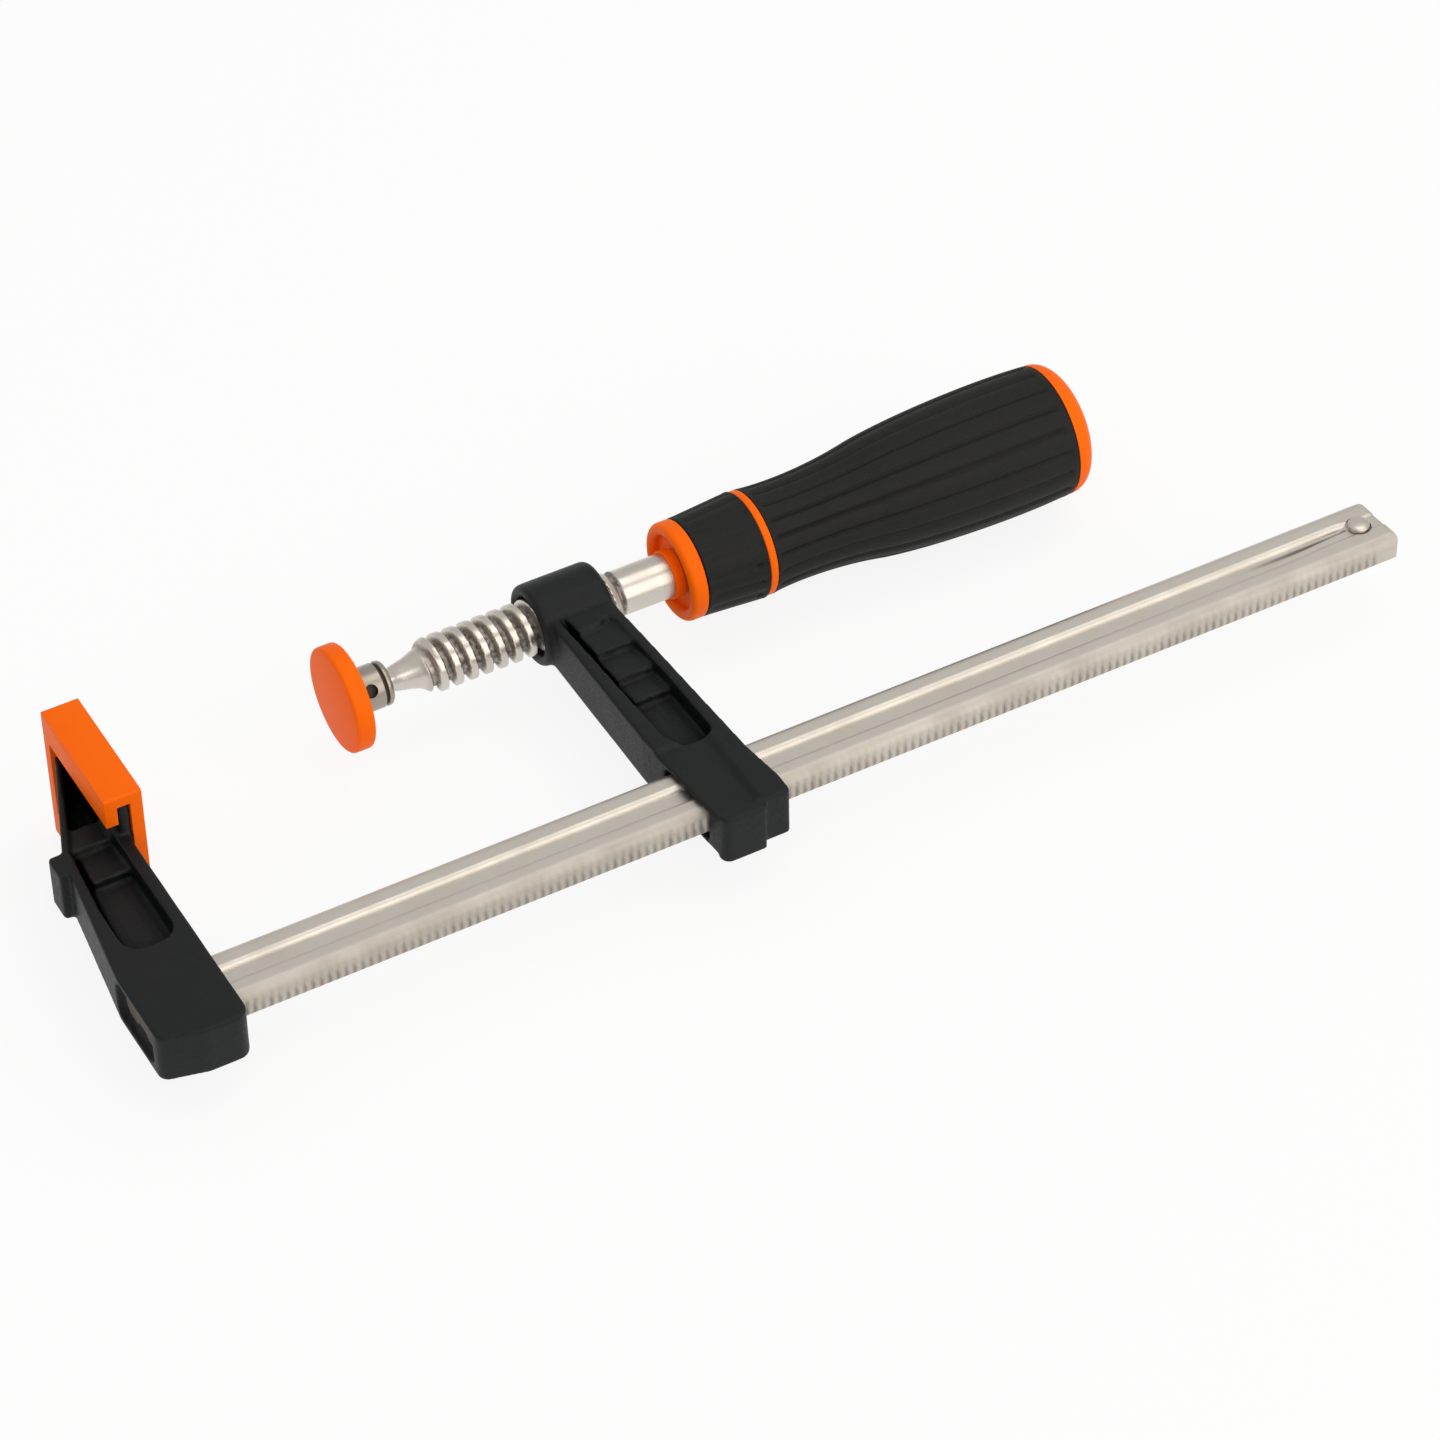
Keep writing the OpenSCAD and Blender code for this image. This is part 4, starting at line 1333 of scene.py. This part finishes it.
@dataclass
class Studio:
    """Pale floor, soft lamps and the camera of the product photograph."""

    target: tuple[float, float, float] = (129.78, -49.05, 0.0)
    eye: tuple[float, float, float] = (-314.2, -878.9, 893.4)
    roll: float = -1.18
    lens: float = 143.64
    floor_z: float = -18.6
    lamps: tuple[tuple[str, tuple[float, float, float], float, float, str], ...] = (
        ("overhead_softbox", (560.0, -30.0, 1190.0), 800.0, 2.5, "#FFFBF4"),
        ("front_softbox", (560.0, -1060.0, 560.0), 1200.0, 5.5, "#FFFBF4"),
        ("camera_softbox", (-140.0, -880.0, 900.0), 500.0, 0.95, "#FFFBF4"),
    )
    sky: str = "#D6D6D6"
    floor_colour: str = "#F2F2F2"

    def build(self) -> None:
        """Sets up the camera, the floor, the lamps, the world and the view transform."""
        scene = bpy.context.scene
        scene.view_settings.view_transform = "Standard"
        self.set_camera(scene)
        self.set_world(scene)
        for name, place, size, power, colour in self.lamps:
            self.set_lamp(name, place, size, power, colour)
        self.set_floor()

    def set_camera(self, scene: bpy.types.Scene) -> None:
        """Places the camera, rolled about its own axis as the photograph's was."""
        lens = bpy.data.cameras.new("camera")
        lens.sensor_width = 36.0
        lens.lens = self.lens
        lens.clip_end = 20.0
        camera = bpy.data.objects.new("camera", lens)
        scene.collection.objects.link(camera)
        eye, target = Vector(self.eye) * MM, Vector(self.target) * MM
        upright = (target - eye).to_track_quat("-Z", "Y").to_matrix().to_4x4()
        camera.matrix_world = Matrix.Translation(eye) @ upright @ Matrix.Rotation(math.radians(self.roll), 4, "Z")
        scene.camera = camera

    def set_world(self, scene: bpy.types.Scene) -> None:
        """Gives the world one pale even colour."""
        world = bpy.data.worlds.new("pale_room")
        world.use_nodes = True
        world.node_tree.nodes["Background"].inputs["Color"].default_value = linear(self.sky)
        scene.world = world

    def set_lamp(self, name: str, place: Sequence[float], size: float, power: float, colour: str) -> None:
        """Adds one softbox aimed at the clamp.

        Args:
            name: The lamp's name.
            place: Its place in millimetres.
            size: The side of its square face in millimetres.
            power: Its power in watts.
            colour: Its colour.
        """
        lamp = bpy.data.lights.new(name, "AREA")
        lamp.shape = "SQUARE"
        lamp.size = size * MM
        lamp.energy = power
        lamp.color = linear(colour)[:3]
        holder = bpy.data.objects.new(name, lamp)
        bpy.context.scene.collection.objects.link(holder)
        spot = Vector(place) * MM
        aim = (Vector(self.target) * MM - spot).to_track_quat("-Z", "Y")
        holder.matrix_world = Matrix.Translation(spot) @ aim.to_matrix().to_4x4()

    def set_floor(self) -> None:
        """Lays the floor, near white where the camera and mirror-like faces see it, with soft shadows."""
        mesh = bmesh.new()
        bmesh.ops.create_grid(
            mesh, x_segments=1, y_segments=1, size=4.0, matrix=Matrix.Translation((0.13, -0.05, self.floor_z * MM))
        )
        floor = as_object("floor", mesh)
        paint = bpy.data.materials.new("matt_white_paper")
        paint.use_nodes = True
        tree = paint.node_tree
        shader = tree.nodes["Principled BSDF"]
        shader.inputs["Base Color"].default_value = linear(self.floor_colour)
        shader.inputs["Roughness"].default_value = 0.9
        path = add_node(tree, "ShaderNodeLightPath", {})
        seen = path.outputs["Is Camera Ray"]
        for ray in ("Is Glossy Ray", "Is Transmission Ray"):
            seen = add_node(
                tree, "ShaderNodeMath", {"operation": "MAXIMUM"}, {0: seen, 1: path.outputs[ray]}
            ).outputs["Value"]
        share = add_node(tree, "ShaderNodeMath", {"operation": "MULTIPLY", 1: 0.87}, {0: seen})
        glow = add_node(tree, "ShaderNodeEmission", {"Color": (1.0, 1.0, 1.0, 1.0), "Strength": 1.0})
        mix = add_node(
            tree,
            "ShaderNodeMixShader",
            {},
            {0: share.outputs["Value"], 1: shader.outputs["BSDF"], 2: glow.outputs["Emission"]},
        )
        tree.links.new(mix.outputs["Shader"], tree.nodes["Material Output"].inputs["Surface"])
        floor.data.materials.append(paint)


@dataclass
class Clamp:
    """The whole clamp: its sub-assemblies in the order in which they are put together."""

    rail: Rail = field(default_factory=Rail)
    castings: tuple[Casting, ...] = (
        Casting("fixed_arm", "cast_fixed_arm", Body.FRAME),
        Casting("sliding_arm", "cast_sliding_arm", Body.SLIDER, bore=(106.5, 125.0, 7.1)),
    )
    jaw_cap: JawCap = field(default_factory=JawCap)
    spindle: Spindle = field(default_factory=Spindle)
    pad: SwivelPad = field(default_factory=SwivelPad)
    handle: Handle = field(default_factory=Handle)

    def build(self, nodes: dict[str, bpy.types.Object]) -> None:
        """Makes every sub-assembly.

        Args:
            nodes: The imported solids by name.
        """
        self.rail.build()
        for casting in self.castings:
            casting.build(nodes)
        self.jaw_cap.build(nodes)
        self.spindle.build()
        self.pad.build()
        self.handle.build()


def plain(box: Sequence[Sequence[float]]) -> list[list[float]]:
    """Turns a box's corners to plain lists of numbers."""
    return [[float(value) for value in corner] for corner in box]


def main() -> None:
    """Builds the clamp and its studio."""
    logging.basicConfig(level=logging.INFO, format="%(name)s: %(message)s")
    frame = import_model()
    Clamp().build(frame["nodes"])
    Studio().build()
    bpy.context.view_layer.update()


if __name__ == "__main__":
    main()
